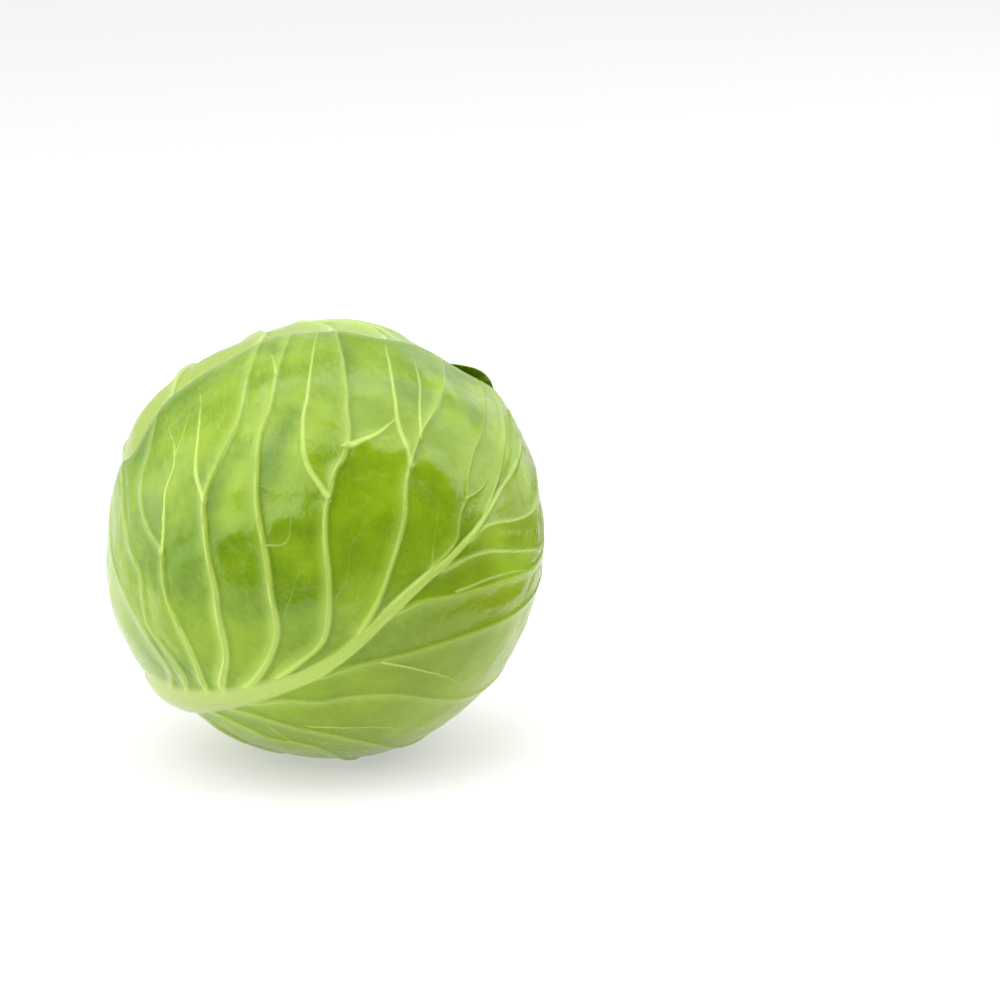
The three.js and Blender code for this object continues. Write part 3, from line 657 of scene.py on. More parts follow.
    rough = plus(ramp(patches, 0.3, 0.7, 0.17, 0.22), times(film, 0.25))
    group.links.new(rough, out["Roughness"])

    # relief in millimetres: small veins and net stand up, flesh between is finely grained
    relief = times(fork, 0.3)
    relief = plus(relief, times(nets, 0.05))
    relief = maths(group, "MULTIPLY_ADD", flecks, 0.2, relief)
    relief = maths(group, "MULTIPLY_ADD", brushed, 0.16, relief)
    relief = maths(group, "MULTIPLY_ADD", noise(where, 420.0, 2.0, 4.0), 0.03, relief)
    ribbed = times(on_rib, times(streaks, 0.08))
    relief = plus(relief, ribbed)
    group.links.new(relief, out["Relief"])
    return group


surface = leaf_surface()
wrapping = leaf_wrapping()


def leaf_material(name, colours, net, bloom, seed):
    """A waxy leaf: a soft green body under a thin glossy layer."""
    material = bpy.data.materials.new(name)
    material.use_nodes = True
    tree = material.node_tree
    body = tree.nodes["Principled BSDF"]
    skin = tree.nodes.new("ShaderNodeGroup")
    skin.node_tree = surface
    for key, value in colours.items():
        skin.inputs[key].default_value = (*value, 1)
    skin.inputs["Net strength"].default_value = net
    skin.inputs["Bloom"].default_value = bloom
    skin.inputs["Seed"].default_value = seed
    relief = place(tree, "ShaderNodeBump", {
        "Height": skin.outputs["Relief"], "Distance": 0.001, "Strength": 1.0})
    tree.links.new(skin.outputs["Colour"], body.inputs["Base Color"])
    tree.links.new(skin.outputs["Roughness"], body.inputs["Roughness"])
    tree.links.new(relief.outputs[0], body.inputs["Normal"])
    body.inputs["IOR"].default_value = 1.5
    body.inputs["Coat Weight"].default_value = 0.0
    return material


def kept_piece(holder, name):
    """Keeps what a holder's Geometry Nodes make as a plain mesh in an object of its own."""
    ready = holder.evaluated_get(bpy.context.evaluated_depsgraph_get())
    mesh = bpy.data.meshes.new_from_object(ready)
    bpy.data.objects.remove(holder)
    mesh.name = name
    piece = bpy.data.objects.new(name, mesh)
    bpy.context.scene.collection.objects.link(piece)
    return piece


def set_inputs(modifier, settings):
    by_name = {item.name: item.identifier for item in modifier.node_group.interface.items_tree}
    for key, value in settings.items():
        modifier[by_name[key]] = value


def grown_leaf(leaf, name, material, pucker, seed):
    """Wraps the leaf's flat sheet round the head and keeps the result as a plain mesh."""
    holder = bpy.data.objects.new(name + "_sheet", blade_sheet(leaf, name))
    bpy.context.scene.collection.objects.link(holder)
    grown = holder.modifiers.new("wrapping", "NODES")
    grown.node_group = wrapping
    set_inputs(grown, {
        "Middle": leaf["middle"].tolist(), "Side": leaf["side"].tolist(), "Crown": crown.tolist(),
        "Pucker height": pucker, "Pucker seed": seed, "Leaf": material,
    })
    return kept_piece(holder, name)


def laid_out(turn, under, **leaf):
    """A leaf's plan: where its middle lies round the head, and which leaves lie over it."""
    middle = turned(front_of_head, crown, turn)
    return dict(leaf, middle=middle, side=np.cross(crown, middle), under=under)


# Bearings and reaches of the margin, midrib stops as place along and across, half width and
# height, and the courses of veins, folds, the pale fan and patches of painted light and shade,
# all in degrees on the leaf spread flat.
front_plan = laid_out(
    turn=0, under=[],
    margin=[(-180, 79), (-170, 79), (-150, 85), (-130, 90), (-118, 88), (-109, 84), (-102, 90),
            (-96, 94.5), (-90, 95.5), (-84, 99), (-76, 102), (-67, 108.5), (-57, 110.5),
            (-49, 109.5), (-43, 106.5), (-36, 106), (-30, 110.3), (-24, 115), (-16, 117.3),
            (-8, 116.8), (6, 116.3), (20, 114), (45, 110), (75, 105), (105, 100), (130, 93),
            (150, 86), (170, 79), (180, 79)],
    midrib=[(-79, -3, 13, 3.4), (-60, -4, 12, 3.2), (-46, -5, 9.6, 2.9), (-34, -5, 6.6, 2.6),
            (-22, -3.8, 5.2, 2.2), (-10, -2, 4.4, 1.9), (3, 0, 3.7, 1.6), (15, 1, 2.9, 1.4),
            (28, 0.5, 2.6, 1.3), (40, 1.5, 2.1, 1.1), (50, 4, 1.7, 0.9), (60, 6.5, 1.3, 0.8),
            (75, 9.5, 1.1, 0.6), (90, 16, 0.9, 0.4), (112, 20, 0.7, 0.3)],
    tip_bearing=9, scallop=0.5, nibble=0.25, waves=9, phase=0.4, lift=0.9, lift_width=16,
    stout={(-1, -43): 0.4, (-1, -36): 0.6, (-1, -28): 0.75, (-1, 20): 0.8, (-1, 44): 0.5,
           (-1, 66): 0.35, (1, -43): 0.6, (1, -35): 0.6, (1, -27): 0.5, (1, -19): 0.45,
           (1, 3): 0.4, (1, 30): 0.4, (1, 46): 0.45, (1, 57): 0.4, (1, 80): 0.3},
    fan=[(1, 9, [(-13, -36), (-22, -38), (-34, -40), (-42, -43)]),
         (0.8, 7, [(-22, -31), (-30, -31), (-38, -27)])],
    # patches of painted shade
    deeper=[(0.55, 22, [(-18, 31), (-12, 45), (-5, 58)]),
            (0.9, 9, [(-59, 40), (-55, 33), (-50, 26)]),
            (0.7, 8, [(-61, 21), (-57, 14), (-52, 7)]),
            (0.7, 10, [(-39, 75), (-29, 83), (-14, 89)]),
            (0.9, 8, [(-80, 71), (-68, 67), (-59, 63)]),
            (0.8, 8, [(-93, 40), (-85, 47)]),
            (0.6, 7, [(-86, -15), (-90, -5), (-91, 9)]),
            (0.4, 9, [(-60, -34), (-71, -28), (-81, -18)])],
    # patches of painted light
    paler=[(0.6, 15, [(-40, 27), (-48, 34), (-54, 40)]),
           (0.9, 13, [(-47, 11), (-52, 16), (-59, 23)]),
           (0.6, 9, [(-17, 2), (-13, 10), (-9, 22), (-9, 30)]),
           (0.5, 10, [(-31, 19), (-25, 20)]),
           (0.8, 14, [(-16, 84), (-30, 85)]), (0.9, 15, [(6, 92), (23, 89), (37, 82)]),
           (1, 13, [(17, 62), (27, 58), (37, 66)])],
    ribbing=1, taut=0.7, columns=115, panel_rows=11, flank=6,
    veins={
        -1: [
            (-43, [(-17, -37), (-27, -37), (-38, -39), (-50, -44)], -127),
            (-36, [(-15, -32), (-23, -32), (-31, -33), (-38, -30), (-44, -27), (-51, -29)], -114),
            (-28, [(-11, -27), (-17, -24), (-23, -22), (-30, -21), (-36, -20), (-43, -17),
                   (-47, -15), (-53, -17), (-61, -19), (-70, -18), (-78, -15)], -98),
            (-22, [(-8, -22), (-11, -19), (-15, -14), (-19, -11), (-27, -7), (-32, -4), (-40, -1),
                   (-47, 2), (-53, 5), (-58, 11), (-62, 17), (-67, 23), (-71, 26)], -69),
            (-15, [(-6, -13), (-8, -7), (-11, -1), (-15, 4), (-24, 9), (-31, 13), (-38, 16),
                   (-45, 19), (-53, 24), (-59, 28), (-66, 35), (-75, 41)], -61),
            (-5, [(-4.4, 2), (-5, 10), (-8, 15), (-17, 23), (-26, 29), (-32, 34), (-35, 38),
                  (-38, 42), (-39, 46), (-41, 49), (-44, 52), (-49, 55), (-56, 60), (-70, 67),
                  (-79, 71)], -48),
            (20, [(-2.5, 25), (-4.5, 30), (-9, 39), (-14, 48), (-21, 56),
                 (-25, 64), (-27, 71), (-27, 79), (-29, 87), (-32, 102)], -17),
            (44, [(2.5, 51), (2, 55), (-1, 60), (-2, 65), (-5, 70), (-7, 77), (-7, 86), (-8, 94)],
             -5),
            (66, [(6.8, 75), (7, 83), (6, 97)], 2),
        ],
        1: [
            (-43, [(14, -45), (38, -44)], 128),
            (-35, [(10, -29), (15, -27), (22, -20), (29, -19), (45, -24)], 108),
            (-27, [(5, -21), (14, -15), (22, -10), (33, -7), (55, -8)], 92),
            (-19, [(3, -10), (9, -2), (13, 5), (22, 13), (50, 20)], 72),
            (3, [(5, 11), (9, 18), (24, 36), (48, 52)], 50),
            (30, [(5, 36), (10, 41), (25, 53), (47, 64)], 43),
            (46, [(9, 53), (15, 58), (24, 62), (36, 66), (54, 72)], 36),
            (57, [(8.5, 62), (12, 65.5), (17, 68.5), (25, 73), (37, 81)], 27),
            (80, [(16.5, 88), (21, 97)], 16),
        ],
    },
    brows=[
        (1.5, 10, [(-40, 49), (-38, 52), (-34, 55), (-31, 58), (-27, 61)]),
        (1.3, 9, [(-22, 64), (-16, 65.5), (-11, 65), (-6, 63), (-2, 61)]),
        (1.2, 9, [(-37, 17), (-38, 21), (-36, 24), (-32, 29), (-30, 33)]),
        (1.2, 9, [(-39, 0), (-41, 4), (-41, 8), (-40, 12), (-37, 15)]),
        (1.0, 9, [(-57, 10), (-60, 13), (-62, 19), (-60, 26)]),
        (1.0, 8, [(-33, -23), (-38, -17), (-41, -9), (-42, -1)]),
    ],
    forks=[
        (1.4, [(-47, -15), (-52, -12), (-59, -9), (-63, -7), (-67, -3), (-74, -2), (-80, -5),
               (-87, -8)]),
        (1.5, [(-53, 5), (-60, 5), (-65, 6), (-70, 8), (-78, 10), (-84, 10), (-92, 8)]),
        (1.6, [(-34, 36), (-38, 36), (-43, 36), (-47, 37), (-51, 39), (-57, 43), (-60, 46),
               (-68, 52), (-80, 60), (-88, 65)]),
        (2.2, [(-41, 49.2), (-40, 50.5), (-39, 53), (-38, 56), (-37, 60), (-36.6, 63),
               (-36.2, 66)]),
        (1.7, [(-23, 60), (-27, 62), (-31, 64), (-35, 66), (-39, 69), (-43, 72), (-47, 75),
               (-52, 79), (-61, 86)]),
        (1.0, [(-26, 68), (-33, 76), (-36, 80), (-40, 84), (-46, 90), (-52, 96)]),
        (0.7, [(-70, -2), (-75, 2), (-82, 4), (-90, 3)]),
        (0.6, [(-34.2, 15.0), (-31.7, 19.9), (-34.8, 23.8), (-38.5, 26.4), (-41.6, 27.2)]),
        (0.9, [(-79, 71), (-84, 72), (-90, 72)]),
        (0.9, [(-75, 41), (-82, 42), (-90, 41)]),
        (0.35, [(-6, 22), (-10, 28), (-11, 33), (-15, 38), (-16, 46)]),
        (0.35, [(-12, 21), (-15, 28), (-20, 33), (-21, 39), (-27, 45)]),
        (0.35, [(-17, 8), (-21, 14), (-23, 17), (-24, 23)]),
        (0.6, [(3, 42), (-3, 50), (-8, 57)]),
        (0.7, [(-2, 65), (2, 72), (3, 80)]),
        (1.0, [(10, 18), (20, 22), (32, 24), (44, 22)]),
        (0.9, [(15, -12), (24, -3), (38, 4), (55, 6)]),
        (0.8, [(12, 44), (20, 52), (30, 58), (40, 61)]),
        (0.8, [(9, -22), (20, -22), (30, -14), (42, -14)]),
    ],
)
front_look = leaf_material("leaf_green", {
    "Panel dark": (0.145, 0.28, 0.001), "Panel light": (0.265, 0.43, 0.004),
    "Vein": (0.54, 0.73, 0.13), "Stalk": (0.50, 0.61, 0.17),
}, net=0.12, bloom=0.25, seed=1.0)
front_leaf = grown_leaf(front_plan, "front_leaf_blade", front_look, pucker=2.4, seed=1.0)
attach(front_leaf, "root")
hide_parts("front_leaf")

# Rear leaf
# The pale leaf that wraps the upper back. Its surface shows past the front leaf's edge, as the
# rim of the crown. The same waxy blade, paler because it saw less sun.

# place along the leaf and across it in degrees, then half width and height in millimetres
PLAIN_MIDRIB = [(-79, 0, 13, 3.2), (-58, 0, 9, 2.8), (-40, 0, 5, 2.2), (-10, 1, 3.4, 1.6),
                (25, 0, 2.4, 1.1), (60, 1, 1.4, 0.6), (95, 2, 0.9, 0.3)]


def fanned(leaf, side, count=5):
    """Side veins spread evenly, turning from across the blade to along it at the tip."""
    veins = []
    for i in range(count):
        share = (i + (0.35 if side > 0 else 0)) / count
        top = 0.8 * reach_of(leaf, 0)[0]
        start = -46 + (top + 46) * share**0.85
        end = side * (128 + (18 - 128) * share**0.9)
        reach = reach_of(leaf, end)[0]
        out = reach * math.sin(math.radians(end))
        climb = reach * math.cos(math.radians(end)) - start
        via = [(o * out, start + u * climb + 6 * (1 - o))
               for o, u in ((0.15, 0.34), (0.42, 0.55), (0.72, 0.74))]
        veins.append((start, via, end))
    return veins


def forked(leaf, seed):
    """Smaller veins that leave the side veins alternately and run out between them."""
    chance = np.random.default_rng(seed)
    forks = []
    for side in (-1, 1):
        for vein in leaf["veins"][side]:
            line = vein_line(leaf, side, vein, 60)
            for k, at in enumerate((0.28, 0.42, 0.56, 0.70, 0.82)):
                n = int((at + chance.uniform(-0.04, 0.04)) * 59)
                ahead = line[min(n + 4, 59)] - line[n]
                ahead /= max(np.linalg.norm(ahead), 1e-6)
                hand = 1 if (k + (side > 0)) % 2 else -1
                lean = math.radians(chance.uniform(32, 50)) * hand
                length = chance.uniform(13, 22)
                points = [line[n]]
                for _ in range(4):
                    c, s = math.cos(lean), math.sin(lean)
                    step = np.array([c * ahead[0] - s * ahead[1], s * ahead[0] + c * ahead[1]])
                    points.append(points[-1] + step * length / 4)
                    lean *= chance.uniform(0.45, 0.9)
                forks.append((chance.uniform(0.8, 1.3), points))
    return forks


rear_plan = laid_out(
    turn=-135, under=[front_plan],
    margin=[(-180, 79), (-170, 79), (-150, 82), (-120, 77), (-90, 72), (-60, 66), (-30, 57),
            (-12, 53), (0, 53), (8, 56), (18, 63), (32, 74), (60, 84), (90, 80), (120, 80),
            (150, 83), (170, 79), (180, 79)],
    midrib=PLAIN_MIDRIB, tip_bearing=3, scallop=0.9, nibble=0.15, waves=10, phase=1.9,
    lift=2.0, lift_width=24, ribbing=1, taut=0.6, columns=80, panel_rows=13, flank=6,
)
rear_plan["veins"] = {side: fanned(rear_plan, side) for side in (-1, 1)}
rear_plan["forks"] = forked(rear_plan, 11)
rear_look = leaf_material("leaf_pale", {
    "Panel dark": (0.28, 0.45, 0.05), "Panel light": (0.36, 0.53, 0.11),
    "Vein": (0.50, 0.65, 0.20), "Stalk": (0.52, 0.65, 0.24),
}, net=0.2, bloom=0.12, seed=2.0)
rear_leaf = grown_leaf(rear_plan, "rear_leaf_blade", rear_look, pucker=2.0, seed=2.0)
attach(rear_leaf, "root")
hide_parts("rear_leaf")

# Under leaf
# The next leaf of the spiral, round the right and lower back. A green waxy blade like the front
# one, grown from the same stem.

under_plan = laid_out(
    turn=96, under=[front_plan, rear_plan],
    margin=[(-180, 79), (-170, 79), (-150, 84), (-120, 80), (-90, 76), (-60, 76), (-30, 74),
            (0, 72), (30, 68), (60, 64), (90, 62), (120, 66), (150, 78), (170, 79), (180, 79)],
    midrib=PLAIN_MIDRIB, tip_bearing=-4, scallop=1.0, nibble=0.15, waves=9, phase=3.1,
    lift=2.4, lift_width=22, ribbing=1, taut=0.6, columns=80, panel_rows=13, flank=6,
)
under_plan["veins"] = {side: fanned(under_plan, side) for side in (-1, 1)}
under_plan["forks"] = forked(under_plan, 12)
under_leaf = grown_leaf(under_plan, "under_leaf_blade", front_look, pucker=2.2, seed=3.0)
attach(under_leaf, "root")
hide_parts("under_leaf")

# Back leaf
# The darkest leaf, on the back of the head, with a loose waved edge. A waxy blade grown from
# the stem.

back_plan = laid_out(
    turn=178, under=[front_plan, rear_plan, under_plan],
    margin=[(-180, 79), (-170, 79), (-150, 82), (-120, 80), (-90, 78), (-60, 74), (-30, 66),
            (-8, 61), (6, 59.5), (18, 58), (34, 59), (60, 70), (90, 76), (120, 78), (150, 82),
            (170, 79), (180, 79)],
    flap=(4, 16, 5.6, 16),
    midrib=PLAIN_MIDRIB, tip_bearing=2, scallop=1.1, nibble=0.2, waves=11, phase=0.9,
    lift=2.4, lift_width=22, ribbing=1, taut=0.6, columns=80, panel_rows=13, flank=6,
)
back_plan["veins"] = {side: fanned(back_plan, side) for side in (-1, 1)}
back_plan["forks"] = forked(back_plan, 13)
back_look = leaf_material("leaf_dark", {
    "Panel dark": (0.13, 0.26, 0.002), "Panel light": (0.20, 0.36, 0.006),
    "Vein": (0.44, 0.62, 0.09), "Stalk": (0.46, 0.64, 0.14),
}, net=0.18, bloom=0.2, seed=3.0)
back_leaf = grown_leaf(back_plan, "back_leaf_blade", back_look, pucker=2.4, seed=4.0)
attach(back_leaf, "root")
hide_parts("back_leaf")

# Upper leaf
# The leaf under the front and rear ones, whose tip closes over the crown. Thin, pale and waxy,
# grown from the stem.

upper_plan = laid_out(
    turn=-55, under=[front_plan, rear_plan, under_plan, back_plan],
    margin=[(-180, 79), (-170, 79), (-150, 82), (-120, 82), (-90, 82), (-60, 90), (-30, 107),
            (-12, 114), (0, 117), (12, 115), (30, 104), (60, 88), (90, 82), (120, 82),
            (150, 82), (170, 79), (180, 79)],
    midrib=PLAIN_MIDRIB, tip_bearing=0, scallop=0.8, nibble=0.15, waves=10, phase=2.6,
    lift=1.6, lift_width=18, ribbing=0.8, taut=0.6, columns=80, panel_rows=13, flank=6,
)
upper_plan["veins"] = {side: fanned(upper_plan, side) for side in (-1, 1)}
upper_plan["forks"] = forked(upper_plan, 14)
upper_leaf = grown_leaf(upper_plan, "upper_leaf_blade", rear_look, pucker=1.8, seed=5.0)
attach(upper_leaf, "root")
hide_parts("upper_leaf")

# Heart
# The dense middle of the head: young pale leaves folded tightly over one another, as one solid
# ball with their lapped edges and veins in its surface, and a socket that fits the stem's core.

OUTER_LEAVES = [front_plan, rear_plan, under_plan, back_plan, upper_plan]
HEART_END, HEART_RINGS = 158, 120
HEART_LAPS, LAP_STEP = 5, 0.9
SOCKET_END = 70
HEART_VEIN_EVERY, HEART_VEIN_HEIGHT = 15.0, 0.35
STEM_RADIUS = 14.5
# how far below the head's centre, and the share of the stem's radius there
STEM_OUTLINE = [(-12, 0.30), (-8, 0.48), (10, 0.62), (32, 0.76), (52, 0.90), (66, 1.0), (76, 1.0),
                (82.8, 0.97), (84, 0.90), (83.6, 0.45)]
STEM_TOP, STEM_FACE, STEM_ROOM = -13.5, 83.5, 0.4
around = np.linspace(0, 2 * math.pi, 145)[:-1]


def stem_radius(share, turn):
    return STEM_RADIUS * share * (1 + 0.035 * np.sin(3 * turn + 0.6) + 0.02 * np.sin(5 * turn))


def beside_axis(below, radius, turn):
    """Places round the head's own axis, in mm from its centre, some way below it."""
    out = (front_of_head * (radius * np.cos(turn))[:, None]
           + side_of_head * (radius * np.sin(turn))[:, None])
    return out - crown * below


def ringed_sheet(name, rings, top, end):
    """A closed skin through rings of places, with a point at each end."""
    count, turns = len(rings), len(rings[0])
    places = np.vstack([*rings, top, end]) / 1000 + (0, 0, CENTRE_HEIGHT / 1000)
    j = np.arange(turns)
    k = (j + 1) % turns
    quads = [np.stack([i * turns + j, (i + 1) * turns + j, (i + 1) * turns + k, i * turns + k],
                      axis=1) for i in range(count - 1)]
    first, last = count * turns, (count - 1) * turns
    caps = [(first, a, b) for a, b in zip(j, k)]
    caps += [(first + 1, last + b, last + a) for a, b in zip(j, k)]
    sheet = bpy.data.meshes.new(name)
    sheet.from_pydata(places.tolist(), [], np.vstack(quads).tolist() + caps)
    sheet.polygons.foreach_set("use_smooth", np.ones(len(sheet.polygons), bool))
    return sheet


def heart_ring(from_crown):
    """One ring of the heart's surface, and how much of a vein lies at each place."""
    c, s = math.cos(from_crown), math.sin(from_crown)
    way = crown * c + (front_of_head * np.cos(around)[:, None]
                       + side_of_head * np.sin(around)[:, None]) * s
    depth = np.full(len(way), LEAF_GAP * 0.5)
    for leaf in OUTER_LEAVES:
        depth += cover_of(leaf, way) * (BLADE_THICKNESS + LEAF_GAP)
    lap = around / (2 * math.pi) * HEART_LAPS + math.degrees(from_crown) / 60
    part = lap - np.floor(lap)
    depth += LAP_STEP * smooth(part * 1.6) * smooth(math.degrees(from_crown) / 20)
    across = np.abs(part - 0.5) * 2 * math.pi * HEAD_RADIUS * s / HEART_LAPS
    climb = HEAD_RADIUS * from_crown + 0.9 * across
    from_vein = np.abs((climb + HEART_VEIN_EVERY / 2) % HEART_VEIN_EVERY - HEART_VEIN_EVERY / 2)
    vein = np.maximum(round_over(across / 2.2), 0.7 * round_over(from_vein / 1.4))
    vein *= smooth(math.degrees(from_crown) / 16 - 0.4)
    radius = np.minimum(head_radius(way), floor_radius(way)) - depth
    return way * (radius + HEART_VEIN_HEIGHT * vein)[:, None], vein


heart_rings, heart_veins = zip(*(heart_ring(math.radians(HEART_END * (i + 1) / HEART_RINGS))
                                 for i in range(HEART_RINGS)))
socket = [beside_axis(below, stem_radius(share, around) + STEM_ROOM, around)
          for below, share in reversed(STEM_OUTLINE) if below < SOCKET_END]
heart_top = crown * (head_radius(crown[None])[0] - LEAF_GAP * 0.5 - sum(
    cover_of(leaf, crown[None])[0] * (BLADE_THICKNESS + LEAF_GAP) for leaf in OUTER_LEAVES))
heart_sheet = ringed_sheet("heart_ball", [*heart_rings, *socket], heart_top,
                           -crown * (STEM_TOP - STEM_ROOM))
vein_layer = heart_sheet.attributes.new("vein", "FLOAT", "POINT")
vein_values = np.zeros(len(heart_sheet.vertices), np.float32)
vein_values[:HEART_RINGS * len(around)] = np.concatenate(heart_veins)
vein_layer.data.foreach_set("value", vein_values)


def blended(tree, amount, a, b):
    """One colour running into another."""
    colours = {6: a if isinstance(a, bpy.types.NodeSocket) else (*a, 1), 7: (*b, 1)}
    return place(tree, "ShaderNodeMix", {0: amount, **colours}, data_type="RGBA").outputs[2]


HEART_GREEN, HEART_YELLOW, HEART_RIB = (0.44, 0.58, 0.11), (0.58, 0.69, 0.22), (0.80, 0.82, 0.55)
heart_look = bpy.data.materials.new("heart_pale")
heart_look.use_nodes = True
tree = heart_look.node_tree
flesh_tone = place(tree, "ShaderNodeTexNoise", {
    "Vector": place(tree, "ShaderNodeTexCoord").outputs["Object"], "Scale": 30.0, "Detail": 3.0})
vein_here = place(tree, "ShaderNodeAttribute", attribute_name="vein").outputs["Fac"]
ground = blended(tree, flesh_tone.outputs[0], HEART_GREEN, HEART_YELLOW)
heart_colour = blended(tree, maths(tree, "MULTIPLY", vein_here, 0.7), ground, HEART_RIB)
tree.links.new(heart_colour, tree.nodes["Principled BSDF"].inputs["Base Color"])
tree.nodes["Principled BSDF"].inputs["Roughness"].default_value = 0.4
heart_sheet.materials.append(heart_look)
heart = bpy.data.objects.new("heart_ball", heart_sheet)
bpy.context.scene.collection.objects.link(heart)
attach(heart, "root")
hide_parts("heart")

# Stem
# The stem that every leaf grows from, cut square under the head. Firm pale flesh in a thin
# skin, with a ring of tougher strands that end in the cut face.


def stem_outline():
    """The stem's outline with places filled in between its stops."""
    stops = np.array(STEM_OUTLINE, float)
    between = [stops[:1]]
    for a, b in zip(stops[:-1], stops[1:]):
        between.append(from_to((a, b), np.linspace(0, 1, 6)[1:, None]))
    return np.vstack(between)


def strand_ends():
    """Adds a ring of small domes, the cut strands, to the stem's face."""
    tree = bpy.data.node_groups.new("strand ends", "GeometryNodeTree")
    sockets = [
        ("Stem", "NodeSocketGeometry", None), ("Face middle", "NodeSocketVector", None),
        ("Face points to", "NodeSocketVector", None), ("Ring radius", "NodeSocketFloat", 0.0096),
        ("Strand count", "NodeSocketInt", 26), ("Strand radius", "NodeSocketFloat", 0.0009),
        ("Strand seed", "NodeSocketInt", 4), ("Flesh", "NodeSocketMaterial", None),
    ]
    for label, kind, value in sockets:
        socket = tree.interface.new_socket(name=label, in_out="INPUT", socket_type=kind)
        if value is not None:
            socket.default_value = value
    tree.interface.new_socket(name="Cut stem", in_out="OUTPUT", socket_type="NodeSocketGeometry")
    into = tree.nodes.new("NodeGroupInput").outputs
    ring = place(tree, "GeometryNodeMeshCircle", {
        "Vertices": into["Strand count"], "Radius": into["Ring radius"]})
    turn = place(tree, "FunctionNodeAlignRotationToVector", {"Vector": into["Face points to"]},
                 axis="Z").outputs[0]
    laid = place(tree, "GeometryNodeTransform", {
        "Geometry": ring.outputs[0], "Translation": into["Face middle"], "Rotation": turn})
    dome = place(tree, "GeometryNodeMeshUVSphere", {
        "Segments": 12, "Rings": 8, "Radius": into["Strand radius"]})
    marked = place(tree, "GeometryNodeStoreNamedAttribute", {
        "Geometry": dome.outputs[0], "Name": "strand", "Value": 1.0},
        data_type="FLOAT", domain="POINT")
    chance = place(tree, "FunctionNodeRandomValue", {
        "Min": (0.6, 0.6, 0.3), "Max": (1.3, 1.3, 0.5), "Seed": into["Strand seed"]},
        data_type="FLOAT_VECTOR")
    put = place(tree, "GeometryNodeInstanceOnPoints", {
        "Points": laid.outputs[0], "Instance": marked.outputs[0], "Rotation": turn,
        "Scale": chance.outputs[0]})
    both = tree.nodes.new("GeometryNodeJoinGeometry")
    tree.links.new(put.outputs[0], both.inputs[0])
    tree.links.new(into["Stem"], both.inputs[0])
    real = place(tree, "GeometryNodeRealizeInstances", {"Geometry": both.outputs[0]})
    done = place(tree, "GeometryNodeSetMaterial",
                 {"Geometry": real.outputs[0], "Material": into["Flesh"]})
    tree.links.new(done.outputs[0], tree.nodes.new("NodeGroupOutput").inputs[0])
    return tree


STRANDS_BEYOND_FACE = 0.25
outline = stem_outline()
stem_rings = []
for below, share in outline:
    grooves = 0.12 * np.sin(23 * around + 0.03 * below) + 0.08 * np.sin(41 * around)
    stem_rings.append(beside_axis(below, stem_radius(share, around) + grooves * share - 0.1, around))
stem_sheet = ringed_sheet("cut_stem", stem_rings, -crown * STEM_TOP, -crown * STEM_FACE)
share_layer = stem_sheet.attributes.new("from_axis", "FLOAT", "POINT")
shares = np.concatenate([np.repeat(outline[:, 1], len(around)), [0, 0]])
share_layer.data.foreach_set("value", shares.astype(np.float32))

FLESH_DARK, FLESH_LIGHT = (0.58, 0.57, 0.30), (0.74, 0.73, 0.48)
STEM_SKIN, STRAND_BROWN = (0.46, 0.56, 0.16), (0.44, 0.38, 0.16)
stem_look = bpy.data.materials.new("stem_white")
stem_look.use_nodes = True
tree = stem_look.node_tree
from_axis = place(tree, "ShaderNodeAttribute", attribute_name="from_axis").outputs["Fac"]
strand_here = place(tree, "ShaderNodeAttribute", attribute_name="strand").outputs["Fac"]
grain = place(tree, "ShaderNodeTexNoise", {
    "Vector": place(tree, "ShaderNodeTexCoord").outputs["Object"], "Scale": 260.0, "Detail": 4.0})
rind = place(tree, "ShaderNodeMapRange", {0: from_axis, 1: 0.74, 2: 0.9, 3: 0.0, 4: 0.8})
flesh_colour = blended(tree, grain.outputs[0], FLESH_DARK, FLESH_LIGHT)
skin_colour = blended(tree, rind.outputs[0], flesh_colour, STEM_SKIN)
stem_colour = blended(tree, maths(tree, "MULTIPLY", strand_here, 0.8), skin_colour, STRAND_BROWN)
grain_bump = place(tree, "ShaderNodeBump", {
    "Height": grain.outputs[0], "Distance": 0.0004, "Strength": 1.0})
tree.links.new(stem_colour, tree.nodes["Principled BSDF"].inputs["Base Color"])
tree.links.new(grain_bump.outputs[0], tree.nodes["Principled BSDF"].inputs["Normal"])
tree.nodes["Principled BSDF"].inputs["Roughness"].default_value = 0.6

stem_holder = bpy.data.objects.new("cut_stem_sheet", stem_sheet)
bpy.context.scene.collection.objects.link(stem_holder)
strands = stem_holder.modifiers.new("strands", "NODES")
strands.node_group = strand_ends()
centre = np.array([0, 0, CENTRE_HEIGHT])
face_middle = centre - crown * (STEM_FACE + STRANDS_BEYOND_FACE)
set_inputs(strands, {"Face middle": (face_middle / 1000).tolist(),
                     "Face points to": (-crown).tolist(), "Flesh": stem_look})
stem = kept_piece(stem_holder, "cut_stem")
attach(stem, "root")
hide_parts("stem")

# Floor, lights and camera
# A plain white floor under soft studio light, seen from a little above with a long lens.

from mathutils import Vector

FLOOR_GREY, FLOOR_DROP = (0.40, 0.40, 0.395, 1), 0.0003
